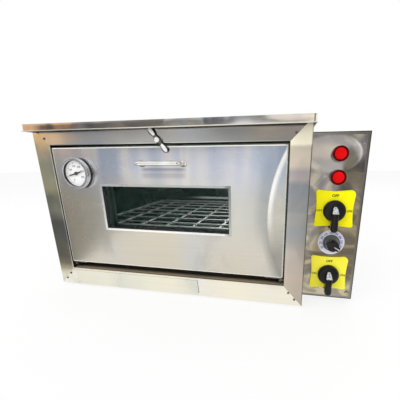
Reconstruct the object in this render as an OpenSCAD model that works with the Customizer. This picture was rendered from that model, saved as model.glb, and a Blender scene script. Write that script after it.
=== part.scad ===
// Electric countertop pizza oven: stainless box with a drop-down glazed door and a control box on its right.
// Drawn from the front frame's lower left corner: x to the right, y to the back, z up.

/* [Front frame] */
// Width of the front frame
frame_w = 510; // [480:1:560]
// Height of the front frame
frame_h = 320; // [306:1:350]
// Face width of the two upright stiles
stile_w = 34; // [30:1:40]
// Face width of the top rail
top_rail_w = 35; // [31:1:40]
// Face width of the bottom rail
bottom_rail_w = 37.5; // [33:0.5:41]
// Open seam along each mitred corner
mitre_seam = 0.3; // [0.1:0.1:0.8]
// Radius of the corner rivets
rivet_r = 1.4; // [1:0.1:1.8]
// Height of a rivet's head
rivet_head_h = 0.8; // [0.5:0.1:1.2]

/* [Body] */
// Depth from the frame's face to the outside of the back
body_d = 430; // [410:1:500]
// Thickness of the folded outer sheet
sheet = 1.2; // [0.8:0.1:1.5]
// Width of the folded flanges that join the panels
flange_w = 14; // [10:1:18]
// Height of the base pan above the frame's lower edge
base_z = 6; // [4:0.5:10]
// Height of the frame's lower edge above the table
foot_stand = 4; // [2:0.5:10]
// Radius of a rubber foot
foot_r = 15; // [11:0.5:20]
// Distance of the feet from the body's sides, front and back
foot_inset = 45; // [36:1:70]
// Radius of a foot's fixing stud
stud_r = 2.5; // [2:0.1:3]
// Radius of the small panel screws
screw_r = 1.7; // [1.4:0.1:2]
// Radius of the small panel screws' heads
screw_head_r = 3.4; // [3:0.1:4]
// Height of the small panel screws' heads
screw_head_h = 1.8; // [1.2:0.1:2.4]

/* [Top cover] */
// Height of the cover's turned-down lip
lip_h = 12.5; // [9:0.5:18]
// Overhang of the cover at the front
cover_front = 16; // [15:0.5:22]
// Overhang of the cover at each side
cover_side = 3; // [2:0.5:5]
// Overhang of the cover at the back
cover_back = 3; // [2:0.5:6]
// Outer radius of the cover's corners
cover_corner_r = 5; // [3:0.5:8]
// Width of the hem folded in along the front lip
hem_w = 2.5; // [1.5:0.5:4]

/* [Chamber] */
// Thickness of the wool at each side
side_wool = 41; // [36:1:46]
// Thickness of the wool under the floor
floor_wool = 51; // [46:1:56]
// Thickness of the wool over the roof
roof_wool = 47; // [42:1:52]
// Thickness of the wool at the back
back_wool = 42; // [32:1:50]
// Thickness of the chamber's liner sheet
liner_t = 1; // [0.8:0.1:1.2]
// Lap of the liner's front flange behind the frame
liner_lap = 8; // [5:1:12]

/* [Heating elements] */
// Radius of the heating tube
element_r = 4; // [3:0.25:4.5]
// Number of straight legs of each element
element_legs = 6; // [4:2:8]
// Centre line radius of the element's bends
element_bend = 16; // [12:1:18]
// Height of the lower element's axis above the chamber floor
lower_element_up = 30; // [22:1:36]
// Drop of the upper element's axis below the chamber roof
upper_element_down = 22; // [16:1:26]
// Distance from the chamber's mouth to the first leg
element_front = 66; // [60:1:76]
// Distance from the last leg to the chamber's back
element_back = 40; // [28:1:50]
// Room between the element's bends and the chamber's walls
element_side = 26; // [20:1:40]
// Thickness of the element brackets
bracket_t = 1.5; // [1:0.1:2]
// Distance of the element brackets from the chamber's side walls
bracket_in = 110; // [90:1:140]

/* [Wire rack] */
// Height of the rack's runners above the chamber floor
rack_up = 61; // [56:1:72]
// Radius of the rack's outer rod
rack_rod_r = 3; // [2.5:0.1:3.5]
// Radius of the rack's cross wires
rack_wire_r = 1.6; // [1.3:0.1:2]
// Spacing of the rack's cross wires
rack_pitch = 41; // [30:1:50]
// Number of long rods under the wires
rack_rods = 6; // [4:1:8]
// Corner radius of the rack's outer rod
rack_bend = 14; // [10:1:20]
// Room between the rack and the chamber's side walls
rack_side = 4; // [3:0.5:6]
// Room between the pushed-in rack and the chamber's back
rack_back = 4; // [3:0.5:8]
// Travel of the rack behind the shut door
rack_play = 16; // [8:1:20]
// Width of a runner's ledge
runner_w = 14; // [11:1:18]

/* [Door] */
// Thickness of the door
door_d = 30; // [28:1:34]
// Gap between the door and the stiles
door_gap = 2; // [1.5:0.1:3]
// Gap between the door and the top rail
door_gap_top = 4; // [3:0.5:5]
// Gap between the shut door's back and the chamber's front flange
seat_gap = 4; // [3:0.5:6]
// Distance of the hinge axis behind the door's face
hinge_y = 8; // [7:0.5:9]
// Radius of the hinge pins
pin_r = 2.5; // [2:0.1:3]
// Radius of the bosses around the hinge pins
boss_r = 4.3; // [4:0.1:5]
// Thickness of a hinge ear
ear_t = 3; // [2.5:0.1:4]
// Width of the window over its bezel
window_w = 252; // [220:1:270]
// Height of the window over its bezel
window_h = 89; // [76:1:100]
// Height of the window's centre above the door's middle
window_rise = 3.75; // [-5:0.25:8]
// Face width of the window's bezel
bezel_w = 4; // [3:0.5:6]
// Thickness of the bezel's face
bezel_t = 1; // [0.8:0.1:1.4]
// Depth of the outer pane behind the door's face
glass_set = 8; // [6:0.5:10]
// Thickness of each glass pane
glass_t = 4; // [3:0.5:5]

/* [Handle] */
// Distance between the handle's two posts
handle_len = 77; // [72:1:120]
// Offset of the handle to the right of the door's middle
handle_x = 5; // [0:1:15]
// Drop of the handle below the door's top edge
handle_drop = 28.5; // [22:0.5:34]
// Distance of the handle's bar from the door
handle_out = 22; // [20:0.5:28]
// Radius of the handle's bar
handle_r = 4; // [3.5:0.1:4.5]
// Radius of the handle's feet
handle_foot_r = 6.5; // [5.5:0.1:8]

/* [Thermometer] */
// Radius of the thermometer's bezel
thermo_r = 28.5; // [25:0.5:32]
// Distance of the thermometer's centre from the door's left edge
thermo_x = 52.5; // [46:0.5:58]
// Drop of the thermometer's centre below the door's top edge
thermo_drop = 46.5; // [40:0.5:54]
// Depth of the thermometer's case
thermo_h = 11; // [9.5:0.5:14]
// Radius of the thermometer's threaded neck
neck_r = 5; // [4:0.1:6]
// Length of the probe inside the chamber
probe_len = 35; // [25:1:42]
// Angle of the needle as stored, turned from pointing right
needle_turn = 196; // [180:1:225]

/* [Latch] */
// Distance from the latch's pivot to the centre of each lobe
latch_arm = 19; // [16:0.5:20]
// Radius of a latch lobe
latch_r = 5.5; // [4.5:0.1:6]
// Thickness of the latch
latch_t = 3; // [2.5:0.1:4]
// Slant of the latch from upright as stored
latch_turn = 38; // [0:1:60]
// Height of the latch's pivot above the top of the frame's opening
latch_up = 5.5; // [4.5:0.5:7]
// Offset of the latch to the right of the frame's middle
latch_x = 1.5; // [-4:0.5:6]
// Radius of the latch's pivot screw
latch_screw_r = 2; // [1.6:0.1:2.4]
// Thickness of the washer behind the latch
washer_t = 1.5; // [1:0.1:2]

/* [Control box] */
// Width of the control box
box_w = 90; // [84:1:110]
// Drop of the control box's top below the frame's top
box_drop = 19.5; // [18:0.5:26]
// Height of the control box above the frame's lower edge
box_z = 7; // [4:0.5:10]
// Setback of the control panel behind the frame's face
panel_set = 30; // [26:1:32]
// Width of the shell's edge that shows round the panel
strip_w = 5; // [3:0.5:7]
// Width of the shell's front and back return flanges
return_w = 18; // [15:1:20]
// Height of the upper lamp above the control box's middle
upper_lamp_up = 112.75; // [110:0.25:117]
// Height of the lower lamp above the control box's middle
lower_lamp_up = 75.75; // [71:0.25:79]
// Radius of a lamp's bezel
lamp_r = 12.2; // [11.8:0.1:13.5]
// Radius of a lamp's lens
lens_r = 10.6; // [9.5:0.1:10.8]
// Projection of a lamp's lens from the panel
lens_out = 15; // [13.5:0.5:17]
// Radius of a lamp's body behind the panel
lamp_body_r = 9; // [7:0.1:9.5]
// Length of a lamp's body behind the panel
lamp_body_len = 38; // [28:1:46]

/* [Switches] */
// Height of the upper switch above the control box's middle
upper_switch_up = 19.25; // [17.5:0.25:22.5]
// Drop of the lower switch below the control box's middle
lower_switch_down = 98.75; // [97.5:0.25:103.5]
// Width of a switch's square face plate
plate_w = 64; // [58:1:66]
// Rise of a face plate's middle above its switch's axis
plate_rise = 3.5; // [2:0.25:5]
// Thickness of a switch's face plate
plate_t = 2.5; // [2:0.1:3.5]
// Corner radius of a switch's face plate
plate_corner_r = 5; // [3:0.5:8]
// Width of a switch's body behind the panel
switch_body_w = 46; // [40:1:48]
// Depth of a switch's body behind the panel
switch_body_d = 58; // [46:1:64]
// Radius of a switch's shaft
switch_shaft_r = 3.5; // [3:0.1:4]
// Radius of a switch handle's round base
switch_disc_r = 18.5; // [16:0.5:20]
// Height of a switch handle's round base
switch_disc_h = 9; // [7:0.5:11]
// Length of a switch's lever from its axis
lever_len = 35; // [30:0.5:36]
// Width of a switch's lever
lever_w = 12; // [10:0.5:14]
// Height of a switch's lever above the face plate
lever_h = 22; // [18:0.5:25]

/* [Thermostat] */
// Drop of the thermostat below the control box's middle
thermostat_down = 37.75; // [36:0.25:40]
// Radius of the thermostat's scale plate
scale_r = 22.5; // [20:0.5:23]
// Thickness of the thermostat's scale plate
scale_t = 1.5; // [1:0.1:2]
// Radius of the thermostat's knob
knob_r = 12.5; // [11:0.5:15]
// Projection of the thermostat's knob from the panel
knob_out = 25; // [20:0.5:27]
// Angle of the knob's grip as stored, turned from level
knob_turn = -30; // [-60:1:0]
// Radius of the thermostat's shaft
knob_shaft_r = 3; // [2.5:0.1:3.2]
// Width of the thermostat's body behind the panel
thermostat_w = 36; // [30:1:38]
// Depth of the thermostat's body behind the panel
thermostat_d = 30; // [24:1:36]
// Radius of the capillary tube
capillary_r = 1.2; // [0.9:0.1:1.5]
// Radius of the sensing bulb
bulb_r = 3; // [2.5:0.1:3.4]
// Length of the sensing bulb
bulb_len = 100; // [70:1:130]
// Height of the sensing bulb above the chamber floor
bulb_up = 140; // [128:1:150]

/* [Wiring] */
// Radius of the cable gland's bore
gland_bore_r = 4.5; // [3.5:0.1:5.5]
// Radius of the cable gland's thread
gland_r = 10; // [9:0.1:12]
// Projection of the cable gland behind the back
gland_out = 20; // [16:0.5:28]
// Height of the cable gland above the control box's floor
gland_up = 40; // [30:1:60]
// Length of the terminal block
block_len = 50; // [40:1:60]
// Height of the terminal block
block_h = 20; // [16:1:24]
// Radius of a connecting wire
wire_r = 1.5; // [1.2:0.1:2]

/* [Hidden] */
$fn = 64;

// Colours
steel = "#d4d2cc";
dark_steel = "#8a8986";
wool = "#d8cfa8";
black = "#1c1c20";
yellow = "#f5e400";
red = "#c4161c";

// Clearance between seated pieces, running clearance round a pin, and an overrun that makes cuts clean
fit = 0.3;
run = 0.06;
over = 1;

// The frame's opening and the body's inner limits
open_x0 = stile_w;
open_x1 = frame_w - stile_w;
open_z0 = bottom_rail_w;
open_z1 = frame_h - top_rail_w;
frame_d = door_d + seat_gap;
wall = 2 * sheet;
side_z0 = sheet + fit;
side_z1 = frame_h - sheet - fit;
back_in = body_d - wall;

// The chamber's inside
cav_x0 = wall + side_wool + liner_t;
cav_x1 = frame_w - cav_x0;
cav_y1 = back_in - back_wool - liner_t;
cav_z0 = base_z + sheet + floor_wool + liner_t;
cav_z1 = side_z1 - sheet - roof_wool - liner_t;

// The door's outline: its open face comes to rest just over the bottom rail
stop_gap = 0.4;
ear_base = 2;
ear_in = 2;
ear_len = 30;
hinge_z = bottom_rail_w + hinge_y + stop_gap;
door_x0 = open_x0 + door_gap;
door_x1 = open_x1 - door_gap;
door_z0 = hinge_z + boss_r + ear_base + fit;
door_z1 = open_z1 - door_gap_top;
door_in = door_d - liner_t;
door_mid = (door_x0 + door_x1) / 2;
window_z = (door_z0 + door_z1) / 2 + window_rise;
hinge_plate_t = 4;
pin_cap_r = pin_r + 1.5;
pin_cap_t = 1.5;

// The window's clear opening and the sleeve that holds its panes
clear_w = window_w - 2 * bezel_w;
clear_h = window_h - 2 * bezel_w;
pane_lap = 6;
sleeve_w = clear_w + 2 * pane_lap;
sleeve_h = clear_h + 2 * pane_lap;
sleeve_t = 1;

// The handle and its screws
handle_z = door_z1 - handle_drop;
handle_mid = door_mid + handle_x;
handle_bend = handle_r + 3;
handle_foot_h = 3;
handle_screw_r = 1.9;
handle_screw_in = 11;
handle_head_r = 3.6;
handle_head_h = 2.4;

// The thermometer
thermo_mid = door_x0 + thermo_x;
thermo_z = door_z1 - thermo_drop;
case_r = thermo_r - 1.6;
case_wall = 1.2;
case_floor = 1.5;
case_in = case_r - case_wall;
dial_t = 0.8;
dial_seat = 2;
dial_up = thermo_h - 5.25;
needle_up = dial_up + 2;
needle_t = 0.6;
needle_gap = 8;
needle_long = case_in - needle_gap;
needle_short = 12;
needle_w = 1.6;
spindle_r = 1;
lens_t = 1.6;
bezel_lip = 5;
bezel_front = 1.6;
probe_r = 3;
nut_r = neck_r + 4;
nut_t = 5;

// The latch
latch_mid = frame_w / 2 + latch_x;
latch_z = open_z1 + latch_up;
latch_neck_w = 6.5;
latch_hub_r = 6;
latch_pad_h = 1;
latch_head_r = 4.2;
latch_head_h = 2.2;
latch_nut_r = 4;
latch_nut_t = 3;

// The control box
box_x0 = frame_w;
box_x1 = frame_w + box_w;
box_z1 = frame_h - box_drop;
box_mid = frame_w + box_w / 2;
box_mid_z = (box_z + box_z1) / 2;
lamp_spots = [box_mid_z + upper_lamp_up, box_mid_z + lower_lamp_up];
switch_spots = [box_mid_z + upper_switch_up, box_mid_z - lower_switch_down];
thermostat_z = box_mid_z - thermostat_down;
shell_y0 = panel_set + sheet;
shell_y1 = body_d - sheet;
lamp_bezel_h = 13;
lamp_nut_t = 4;
switch_neck_r = 9;
switch_bore = 16;
lever_under = 2;
lever_rise = 9;
handle_run = 0.4;
scale_hole_r = 6;
thermostat_neck_r = 5.5;
knob_skirt_r = knob_r + 2;
knob_skirt_h = 4;
knob_nose_r = 0.76 * knob_r;
knob_bore = 12;

// The heating elements
element_x0 = cav_x0 + element_side;
element_x1 = cav_x1 - element_side;
element_y0 = frame_d + element_front;
element_y1 = cav_y1 - element_back;
element_pitch = (element_y1 - element_y0) / (element_legs - 1);
lower_element_z = cav_z0 + lower_element_up;
upper_element_z = cav_z1 - upper_element_down;
element_tail = 22;
element_end = box_x0 + element_tail;
element_pin_r = 1.6;
element_pin_len = 10;
bracket_rim = 4;

// The rack
runner_t = 1.2;
runner_z = cav_z0 + rack_up;
rack_x0 = cav_x0 + rack_side + rack_rod_r;
rack_x1 = cav_x1 - rack_side - rack_rod_r;
rack_y0 = frame_d + rack_play + fit + rack_rod_r;
rack_y1 = cav_y1 - rack_back - rack_rod_r;
rack_z = runner_z + fit + rack_rod_r;
weld = 0.8;
rack_wire_z = rack_z + rack_rod_r + rack_wire_r - weld;
rack_wires = floor((rack_y1 - rack_y0 - 2 * rack_bend) / rack_pitch);

// The sensing bulb's route through the control box and the side wall
bulb_z = cav_z0 + bulb_up;
bulb_gap = 6;
bulb_x = cav_x1 - bulb_gap - bulb_r;
capillary_bend = 5;
capillary_y0 = shell_y0 + thermostat_d;
capillary_clear = 16;
capillary_y1 = shell_y0 + switch_body_d + capillary_clear;
capillary_y2 = capillary_y1 + 3 * capillary_bend;

// The wires in the control box
block_y = 300;
block_w = 24;
block_z = box_z + sheet;
wire_bend = 6;
wire_lift = 10;

// The part's own frame: centred over its box, standing on the table
front_y = -(handle_out + handle_r);
rear_y = body_d + gland_out;
origin = [-(box_x1 - cover_side) / 2, -(front_y + rear_y) / 2, foot_stand];
module place() { translate(origin) children(); }

// A box between two corners
module slab(lo, hi) { translate(lo) cube(hi - lo); }

// Round bars along each axis
module along_x(x0, x1, y, z, r) { translate([x0, y, z]) rotate([0, 90, 0]) cylinder(h = x1 - x0, r = r); }
module along_y(x, y0, y1, z, r) { translate([x, y0, z]) rotate([-90, 0, 0]) cylinder(h = y1 - y0, r = r); }
module along_z(x, y, z0, z1, r) { translate([x, y, z0]) cylinder(h = z1 - z0, r = r); }

// Things that stand on a front face: local z points to the front
module facing(x, z, y = 0) { translate([x, y, z]) rotate([90, 0, 0]) children(); }

// An outline in x and z, as thick as from y0 to y1
module upright(points, y0, y1) {
    translate([0, y1, 0]) rotate([90, 0, 0]) linear_extrude(y1 - y0) polygon(points);
}

// A rectangle with round corners
module rounded_rect(w, h, r) {
    square([w - 2 * r, h], center = true);
    square([w, h - 2 * r], center = true);
    for (x = [-1, 1], y = [-1, 1]) translate([x * (w / 2 - r), y * (h / 2 - r)]) circle(r);
}

// A copy on the other side of the frame's middle
module other_side() { translate([frame_w, 0, 0]) mirror([1, 0, 0]) children(); }
module both_sides() {
    children();
    other_side() children();
}

// A rectangular ring round the window, between two outlines and two depths
module window_ring(w_in, h_in, w_out, h_out, y0, y1) {
    difference() {
        window_block(w_out, h_out, y0, y1);
        window_block(w_in, h_in, y0 - over, y1 + over);
    }
}
module window_block(w, h, y0, y1) {
    slab([door_mid - w / 2, y0, window_z - h / 2], [door_mid + w / 2, y1, window_z + h / 2]);
}

// A round tube along points joined at right angles, with bends of one radius
function unit(v) = v / norm(v);
module rod(a, b, r) {
    d = unit(b - a);
    side = abs(d[2]) > 0.5 ? [1, 0, 0] : [0, 0, 1];
    u = cross(side, d);
    multmatrix([
        [u[0], side[0], d[0], a[0]],
        [u[1], side[1], d[1], a[1]],
        [u[2], side[2], d[2], a[2]],
        [0, 0, 0, 1]
    ]) cylinder(h = norm(b - a), r = r);
}
module elbow(p, u, v, r, bend) {
    w = cross(u, v);
    c = p + bend * (v - u);
    multmatrix([
        [-v[0], u[0], w[0], c[0]],
        [-v[1], u[1], w[1], c[1]],
        [-v[2], u[2], w[2], c[2]],
        [0, 0, 0, 1]
    ]) rotate_extrude(angle = 90) translate([bend, 0]) circle(r);
}
module bent_tube(points, r, bend) {
    last = len(points) - 1;
    for (i = [0 : last - 1]) {
        d = unit(points[i + 1] - points[i]);
        rod(points[i] + (i == 0 ? 0 : bend) * d, points[i + 1] - (i == last - 1 ? 0 : bend) * d, r);
    }
    for (i = [1 : last - 1])
        elbow(points[i], unit(points[i] - points[i - 1]), unit(points[i + 1] - points[i]), r, bend);
}

// Mitred corners: the stile's tab laps behind the rail's face and two rivets hold it
tab_x0 = 10;
tab_end = 5;
tab_x1 = stile_w - tab_end;
tab_half = 6;
function mitre_z(x, rail) = x * rail / stile_w;
function rivet_spots(rail) = [for (x = [tab_x0 + 4, tab_x1 - 4]) [x, mitre_z(x, rail) - tab_half / 2]];
module rivet_set(r, y0, y1) {
    for (right = [0, 1], top = [0, 1])
        translate([right * frame_w, 0, top * frame_h]) mirror([right, 0, 0]) mirror([0, 0, top])
            for (p = rivet_spots(top == 1 ? top_rail_w : bottom_rail_w)) along_y(p[0], y0, y1, p[1], r);
}
module mitre_tab(rail) {
    upright([
        [tab_x0, mitre_z(tab_x0, rail) - tab_half],
        [tab_x1, mitre_z(tab_x1, rail) - tab_half],
        [tab_x1, mitre_z(tab_x1, rail) + tab_half],
        [tab_x0, mitre_z(tab_x0, rail) + tab_half]
    ], sheet, wall);
}

// Frame members: folded channels cut to a mitre at both ends
module stile() {
    difference() {
        union() {
            intersection() {
                union() {
                    slab([0, 0, 0], [stile_w, sheet, frame_h]);
                    slab([0, 0, 0], [sheet, frame_d, frame_h]);
                    slab([stile_w - sheet, 0, 0], [stile_w, frame_d, frame_h]);
                }
                upright([
                    [0, mitre_seam],
                    [stile_w, open_z0 + mitre_seam],
                    [stile_w, open_z1 - mitre_seam],
                    [0, frame_h - mitre_seam]
                ], 0, frame_d);
            }
            mitre_tab(bottom_rail_w);
            translate([0, 0, frame_h]) mirror([0, 0, 1]) mitre_tab(top_rail_w);
        }
        rivet_set(rivet_r + run, -over, wall + over);
        along_x(stile_w - wall, stile_w + over, hinge_y, hinge_z, pin_r + run);
    }
}
module rail(rail_w) {
    intersection() {
        union() {
            slab([0, 0, 0], [frame_w, sheet, rail_w]);
            slab([0, 0, 0], [frame_w, frame_d, sheet]);
            slab([0, 0, rail_w - sheet], [frame_w, frame_d, rail_w]);
        }
        upright([[0, 0], [frame_w, 0], [open_x1, rail_w], [open_x0, rail_w]], 0, frame_d);
    }
}
module frame_left_stile() { color(steel) stile(); }
module frame_right_stile() { color(steel) other_side() stile(); }
module frame_top_rail() {
    color(steel) difference() {
        translate([0, 0, frame_h]) mirror([0, 0, 1]) rail(top_rail_w);
        rivet_set(rivet_r + run, -over, sheet + over);
        along_y(latch_mid, -over, sheet + over, latch_z, latch_screw_r + run);
    }
}
module frame_bottom_rail() {
    color(steel) difference() {
        rail(bottom_rail_w);
        rivet_set(rivet_r + run, -over, sheet + over);
    }
}
module frame_rivets() {
    color(dark_steel) {
        rivet_set(rivet_r * 1.5, -rivet_head_h, 0);
        rivet_set(rivet_r, 0, wall + rivet_head_h);
    }
}

// Top cover: a shallow tray turned upside down over the body, hemmed along its front lip
module cover_plan(inset) {
    translate([frame_w / 2, (body_d + cover_back - cover_front) / 2])
        rounded_rect(
            frame_w + 2 * (cover_side - inset),
            body_d + cover_back + cover_front - 2 * inset,
            cover_corner_r - inset
        );
}
module top_cover() {
    lip_z = frame_h + sheet - lip_h;
    color(steel) {
        difference() {
            translate([0, 0, lip_z]) linear_extrude(lip_h) cover_plan(0);
            translate([0, 0, lip_z - over]) linear_extrude(lip_h - sheet + over) cover_plan(sheet);
        }
        slab([cover_corner_r - cover_side, -cover_front, lip_z],
            [frame_w + cover_side - cover_corner_r, hem_w + sheet - cover_front, lip_z + sheet]);
    }
}

// Body panels
back_screw_x = sheet + flange_w / 2;
back_screw_z = [flange_w, frame_h / 2, frame_h - 2 * flange_w];
box_screw_z = [box_z + return_w / 2, box_z1 - return_w / 2];
box_screw_x = [box_x0 + return_w, box_x1 - return_w / 2];
module back_screw_set(r, y0, y1) {
    both_sides() for (z = back_screw_z) along_y(back_screw_x, y0, y1, z, r);
    for (x = box_screw_x, z = box_screw_z) along_y(x, y0, y1, z, r);
}
module side_panel() {
    difference() {
        union() {
            slab([sheet, sheet + fit, side_z0], [wall, shell_y1, side_z1]);
            slab([sheet, frame_d + fit, side_z1 - sheet], [sheet + flange_w, shell_y1, side_z1]);
            slab([sheet, back_in, side_z0], [sheet + flange_w, shell_y1, side_z1]);
        }
        back_screw_set(screw_r + run, back_in - over, body_d);
    }
}
module wall_passages(element_hole_r, tube_hole_r) {
    for (y = [element_y0, element_y1], z = [lower_element_z, upper_element_z])
        along_x(cav_x1 - over, frame_w, y, z, element_hole_r);
    along_x(cav_x1 - over, frame_w, capillary_y1, bulb_z, tube_hole_r);
}
module left_side_panel() { color(steel) side_panel(); }
module right_side_panel() {
    color(steel) difference() {
        other_side() side_panel();
        wall_passages(element_r + fit, capillary_r + fit);
    }
}
foot_spots = [
    for (x = [foot_inset, frame_w - foot_inset], y = [frame_d + foot_inset, body_d - foot_inset]) [x, y]
];
module base_pan() {
    color(steel) difference() {
        union() {
            slab([wall, frame_d + fit, base_z], [frame_w - wall, back_in, base_z + sheet]);
            both_sides() slab([wall, frame_d + fit, base_z], [wall + sheet, back_in, base_z + flange_w]);
        }
        for (p = foot_spots) along_z(p[0], p[1], base_z - over, base_z + sheet + over, stud_r + run);
    }
}
module back_panel() {
    color(steel) difference() {
        slab([sheet, shell_y1, side_z0], [frame_w - sheet, body_d, side_z1]);
        back_screw_set(screw_r + run, shell_y1 - over, body_d + over);
    }
}
module back_screws() {
    color(dark_steel) {
        back_screw_set(screw_head_r, body_d, body_d + screw_head_h);
        back_screw_set(screw_r, back_in - screw_head_h, body_d);
    }
}
module rubber_feet() {
    foot_taper = 2;
    stud_tip = 5;
    stud_len = sheet + stud_tip;
    color(black) for (p = foot_spots) translate([p[0], p[1], 0]) {
        rotate_extrude() polygon([
            [0, -foot_stand],
            [foot_r - foot_taper, -foot_stand],
            [foot_r, base_z],
            [0, base_z]
        ]);
        along_z(0, 0, base_z, base_z + stud_len, stud_r);
    }
}

// Chamber: a box open to the front, with a flange that seats behind the frame
module chamber_liner() {
    color(dark_steel) difference() {
        union() {
            slab([cav_x0 - liner_t, frame_d, cav_z0 - liner_t],
                [cav_x1 + liner_t, cav_y1 + liner_t, cav_z1 + liner_t]);
            slab([open_x0 - liner_lap, frame_d, open_z0 - liner_lap],
                [open_x1 + liner_lap, frame_d + liner_t, open_z1 + liner_lap]);
        }
        slab([cav_x0, frame_d - over, cav_z0], [cav_x1, cav_y1, cav_z1]);
        wall_passages(element_r + fit, capillary_r + fit);
    }
}
module chamber_wool() {
    wool_y0 = frame_d + liner_t + fit;
    wool_y1 = back_in - screw_head_h - fit;
    floor_x = wall + sheet + fit;
    color(wool) {
        difference() {
            slab([floor_x, wool_y0, base_z + sheet], [frame_w - floor_x, wool_y1, cav_z0 - liner_t - fit]);
            for (p = foot_spots) along_z(p[0], p[1], base_z, base_z + sheet + flange_w, stud_r + fit);
        }
        slab([wall + fit, wool_y0, cav_z1 + liner_t], [frame_w - wall - fit, wool_y1, side_z1 - sheet - fit]);
        slab([wall + fit, wool_y0, cav_z0], [cav_x0 - liner_t - fit, wool_y1, cav_z1]);
        difference() {
            slab([cav_x1 + liner_t + fit, wool_y0, cav_z0], [frame_w - wall - fit, wool_y1, cav_z1]);
            wall_passages(element_r + fit, capillary_r + fit);
        }
        slab([cav_x0, cav_y1 + liner_t + fit, cav_z0], [cav_x1, wool_y1, cav_z1]);
    }
}
module rack_runners() {
    color(dark_steel) both_sides() {
        slab([cav_x0, frame_d + flange_w, runner_z - runner_t], [cav_x0 + runner_w, cav_y1, runner_z]);
        slab([cav_x0, frame_d + flange_w, runner_z - runner_w], [cav_x0 + runner_t, cav_y1, runner_z]);
    }
}
module wire_rack() {
    mid_x = (rack_x0 + rack_x1) / 2;
    mid_y = (rack_y0 + rack_y1) / 2;
    rod_pitch = (rack_x1 - rack_x0) / (rack_rods + 1);
    loop = [
        [mid_x, rack_y0, rack_z],
        [rack_x1, rack_y0, rack_z],
        [rack_x1, rack_y1, rack_z],
        [rack_x0, rack_y1, rack_z],
        [rack_x0, rack_y0, rack_z],
        [mid_x, rack_y0, rack_z]
    ];
    color(steel) {
        bent_tube(loop, rack_rod_r, rack_bend);
        for (i = [1 : rack_rods])
            along_y(rack_x0 + i * rod_pitch, rack_y0, rack_y1, rack_z, rack_rod_r - weld);
        for (i = [0 : rack_wires])
            along_x(rack_x0, rack_x1, mid_y + (i - rack_wires / 2) * rack_pitch, rack_wire_z, rack_wire_r);
    }
}

// Heating elements: one tube folded to and fro, its two ends in the control box
function leg_y(i) = element_y0 + i * element_pitch;
function leg_from(i) = i == 0 ? element_end : i % 2 == 0 ? element_x1 : element_x0;
function leg_to(i) = i == element_legs - 1 ? element_end : i % 2 == 0 ? element_x0 : element_x1;
module element(z) {
    route = [for (i = [0 : element_legs - 1]) each [[leg_from(i), leg_y(i), z], [leg_to(i), leg_y(i), z]]];
    bent_tube(route, element_r, element_bend);
    for (y = [element_y0, element_y1])
        along_x(element_end, element_end + element_pin_len, y, z, element_pin_r);
}
module bracket(x, z0, z1, z) {
    difference() {
        slab([x, element_y0 - element_bend, z0], [x + bracket_t, element_y1 + element_bend, z1]);
        for (i = [0 : element_legs - 1])
            along_x(x - over, x + bracket_t + over, leg_y(i), z, element_r + fit);
    }
}
module upper_element() { color(dark_steel) element(upper_element_z); }
module lower_element() { color(dark_steel) element(lower_element_z); }
module element_brackets() {
    rim = element_r + bracket_rim;
    color(steel) for (x = [cav_x0 + bracket_in, cav_x1 - bracket_in - bracket_t]) {
        bracket(x, cav_z0, lower_element_z + rim, lower_element_z);
        bracket(x, upper_element_z - rim, cav_z1, upper_element_z);
    }
}

// Door: a folded outer pan closed by a flat liner, with wool between them and a two-pane window
handle_posts = [handle_mid - handle_len / 2, handle_mid + handle_len / 2];
bezel_hole = 2 * (bezel_t + fit);
module door_skin() {
    color(steel) difference() {
        slab([door_x0, 0, door_z0], [door_x1, door_in, door_z1]);
        slab([door_x0 + sheet, sheet, door_z0 + sheet], [door_x1 - sheet, door_in + over, door_z1 - sheet]);
        window_block(clear_w + bezel_hole, clear_h + bezel_hole, -over, sheet + over);
        along_y(thermo_mid, -over, sheet + over, thermo_z, neck_r + run);
        for (x = handle_posts) along_y(x, -over, sheet + over, handle_z, handle_screw_r + run);
    }
}
module door_liner() {
    color(steel) difference() {
        slab([door_x0, door_in, door_z0], [door_x1, door_d, door_z1]);
        window_block(clear_w, clear_h, door_in - over, door_d + over);
        along_y(thermo_mid, door_in - over, door_d + over, thermo_z, neck_r + run);
    }
}
module door_wool() {
    edge = sheet + fit;
    hole = 2 * (sleeve_t + fit);
    color(wool) difference() {
        slab([door_x0 + edge, edge, door_z0 + edge], [door_x1 - edge, door_in - fit, door_z1 - edge]);
        window_block(sleeve_w + hole, sleeve_h + hole, 0, door_d);
        along_y(thermo_mid, 0, door_d, thermo_z, neck_r + fit);
        for (x = handle_posts) along_y(x, 0, door_d, handle_z, handle_head_r + fit);
    }
}
module window_bezel() {
    lip_w = clear_w + 2 * bezel_t;
    lip_height = clear_h + 2 * bezel_t;
    color(steel) {
        window_ring(clear_w, clear_h, window_w, window_h, -bezel_t, 0);
        window_ring(clear_w, clear_h, lip_w, lip_height, -bezel_t, glass_set - fit);
    }
}
module outer_glass() {
    color("#2f3d3a", 0.5)
        window_block(sleeve_w - 2 * fit, sleeve_h - 2 * fit, glass_set, glass_set + glass_t);
}
module inner_glass() {
    color("#2f3d3a", 0.5)
        window_block(sleeve_w - 2 * fit, sleeve_h - 2 * fit, door_in - fit - glass_t, door_in - fit);
}
module window_sleeve() {
    color(dark_steel)
        window_ring(sleeve_w, sleeve_h, sleeve_w + 2 * sleeve_t, sleeve_h + 2 * sleeve_t, sheet, door_in);
}
module door_handle() {
    posts = [
        [handle_posts[0], 0, handle_z],
        [handle_posts[0], -handle_out, handle_z],
        [handle_posts[1], -handle_out, handle_z],
        [handle_posts[1], 0, handle_z]
    ];
    color(steel) difference() {
        union() {
            bent_tube(posts, handle_r, handle_bend);
            for (x = handle_posts) along_y(x, -handle_foot_h, 0, handle_z, handle_foot_r);
        }
        for (x = handle_posts) along_y(x, -handle_screw_in - fit, over, handle_z, handle_screw_r + run);
    }
}
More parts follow.
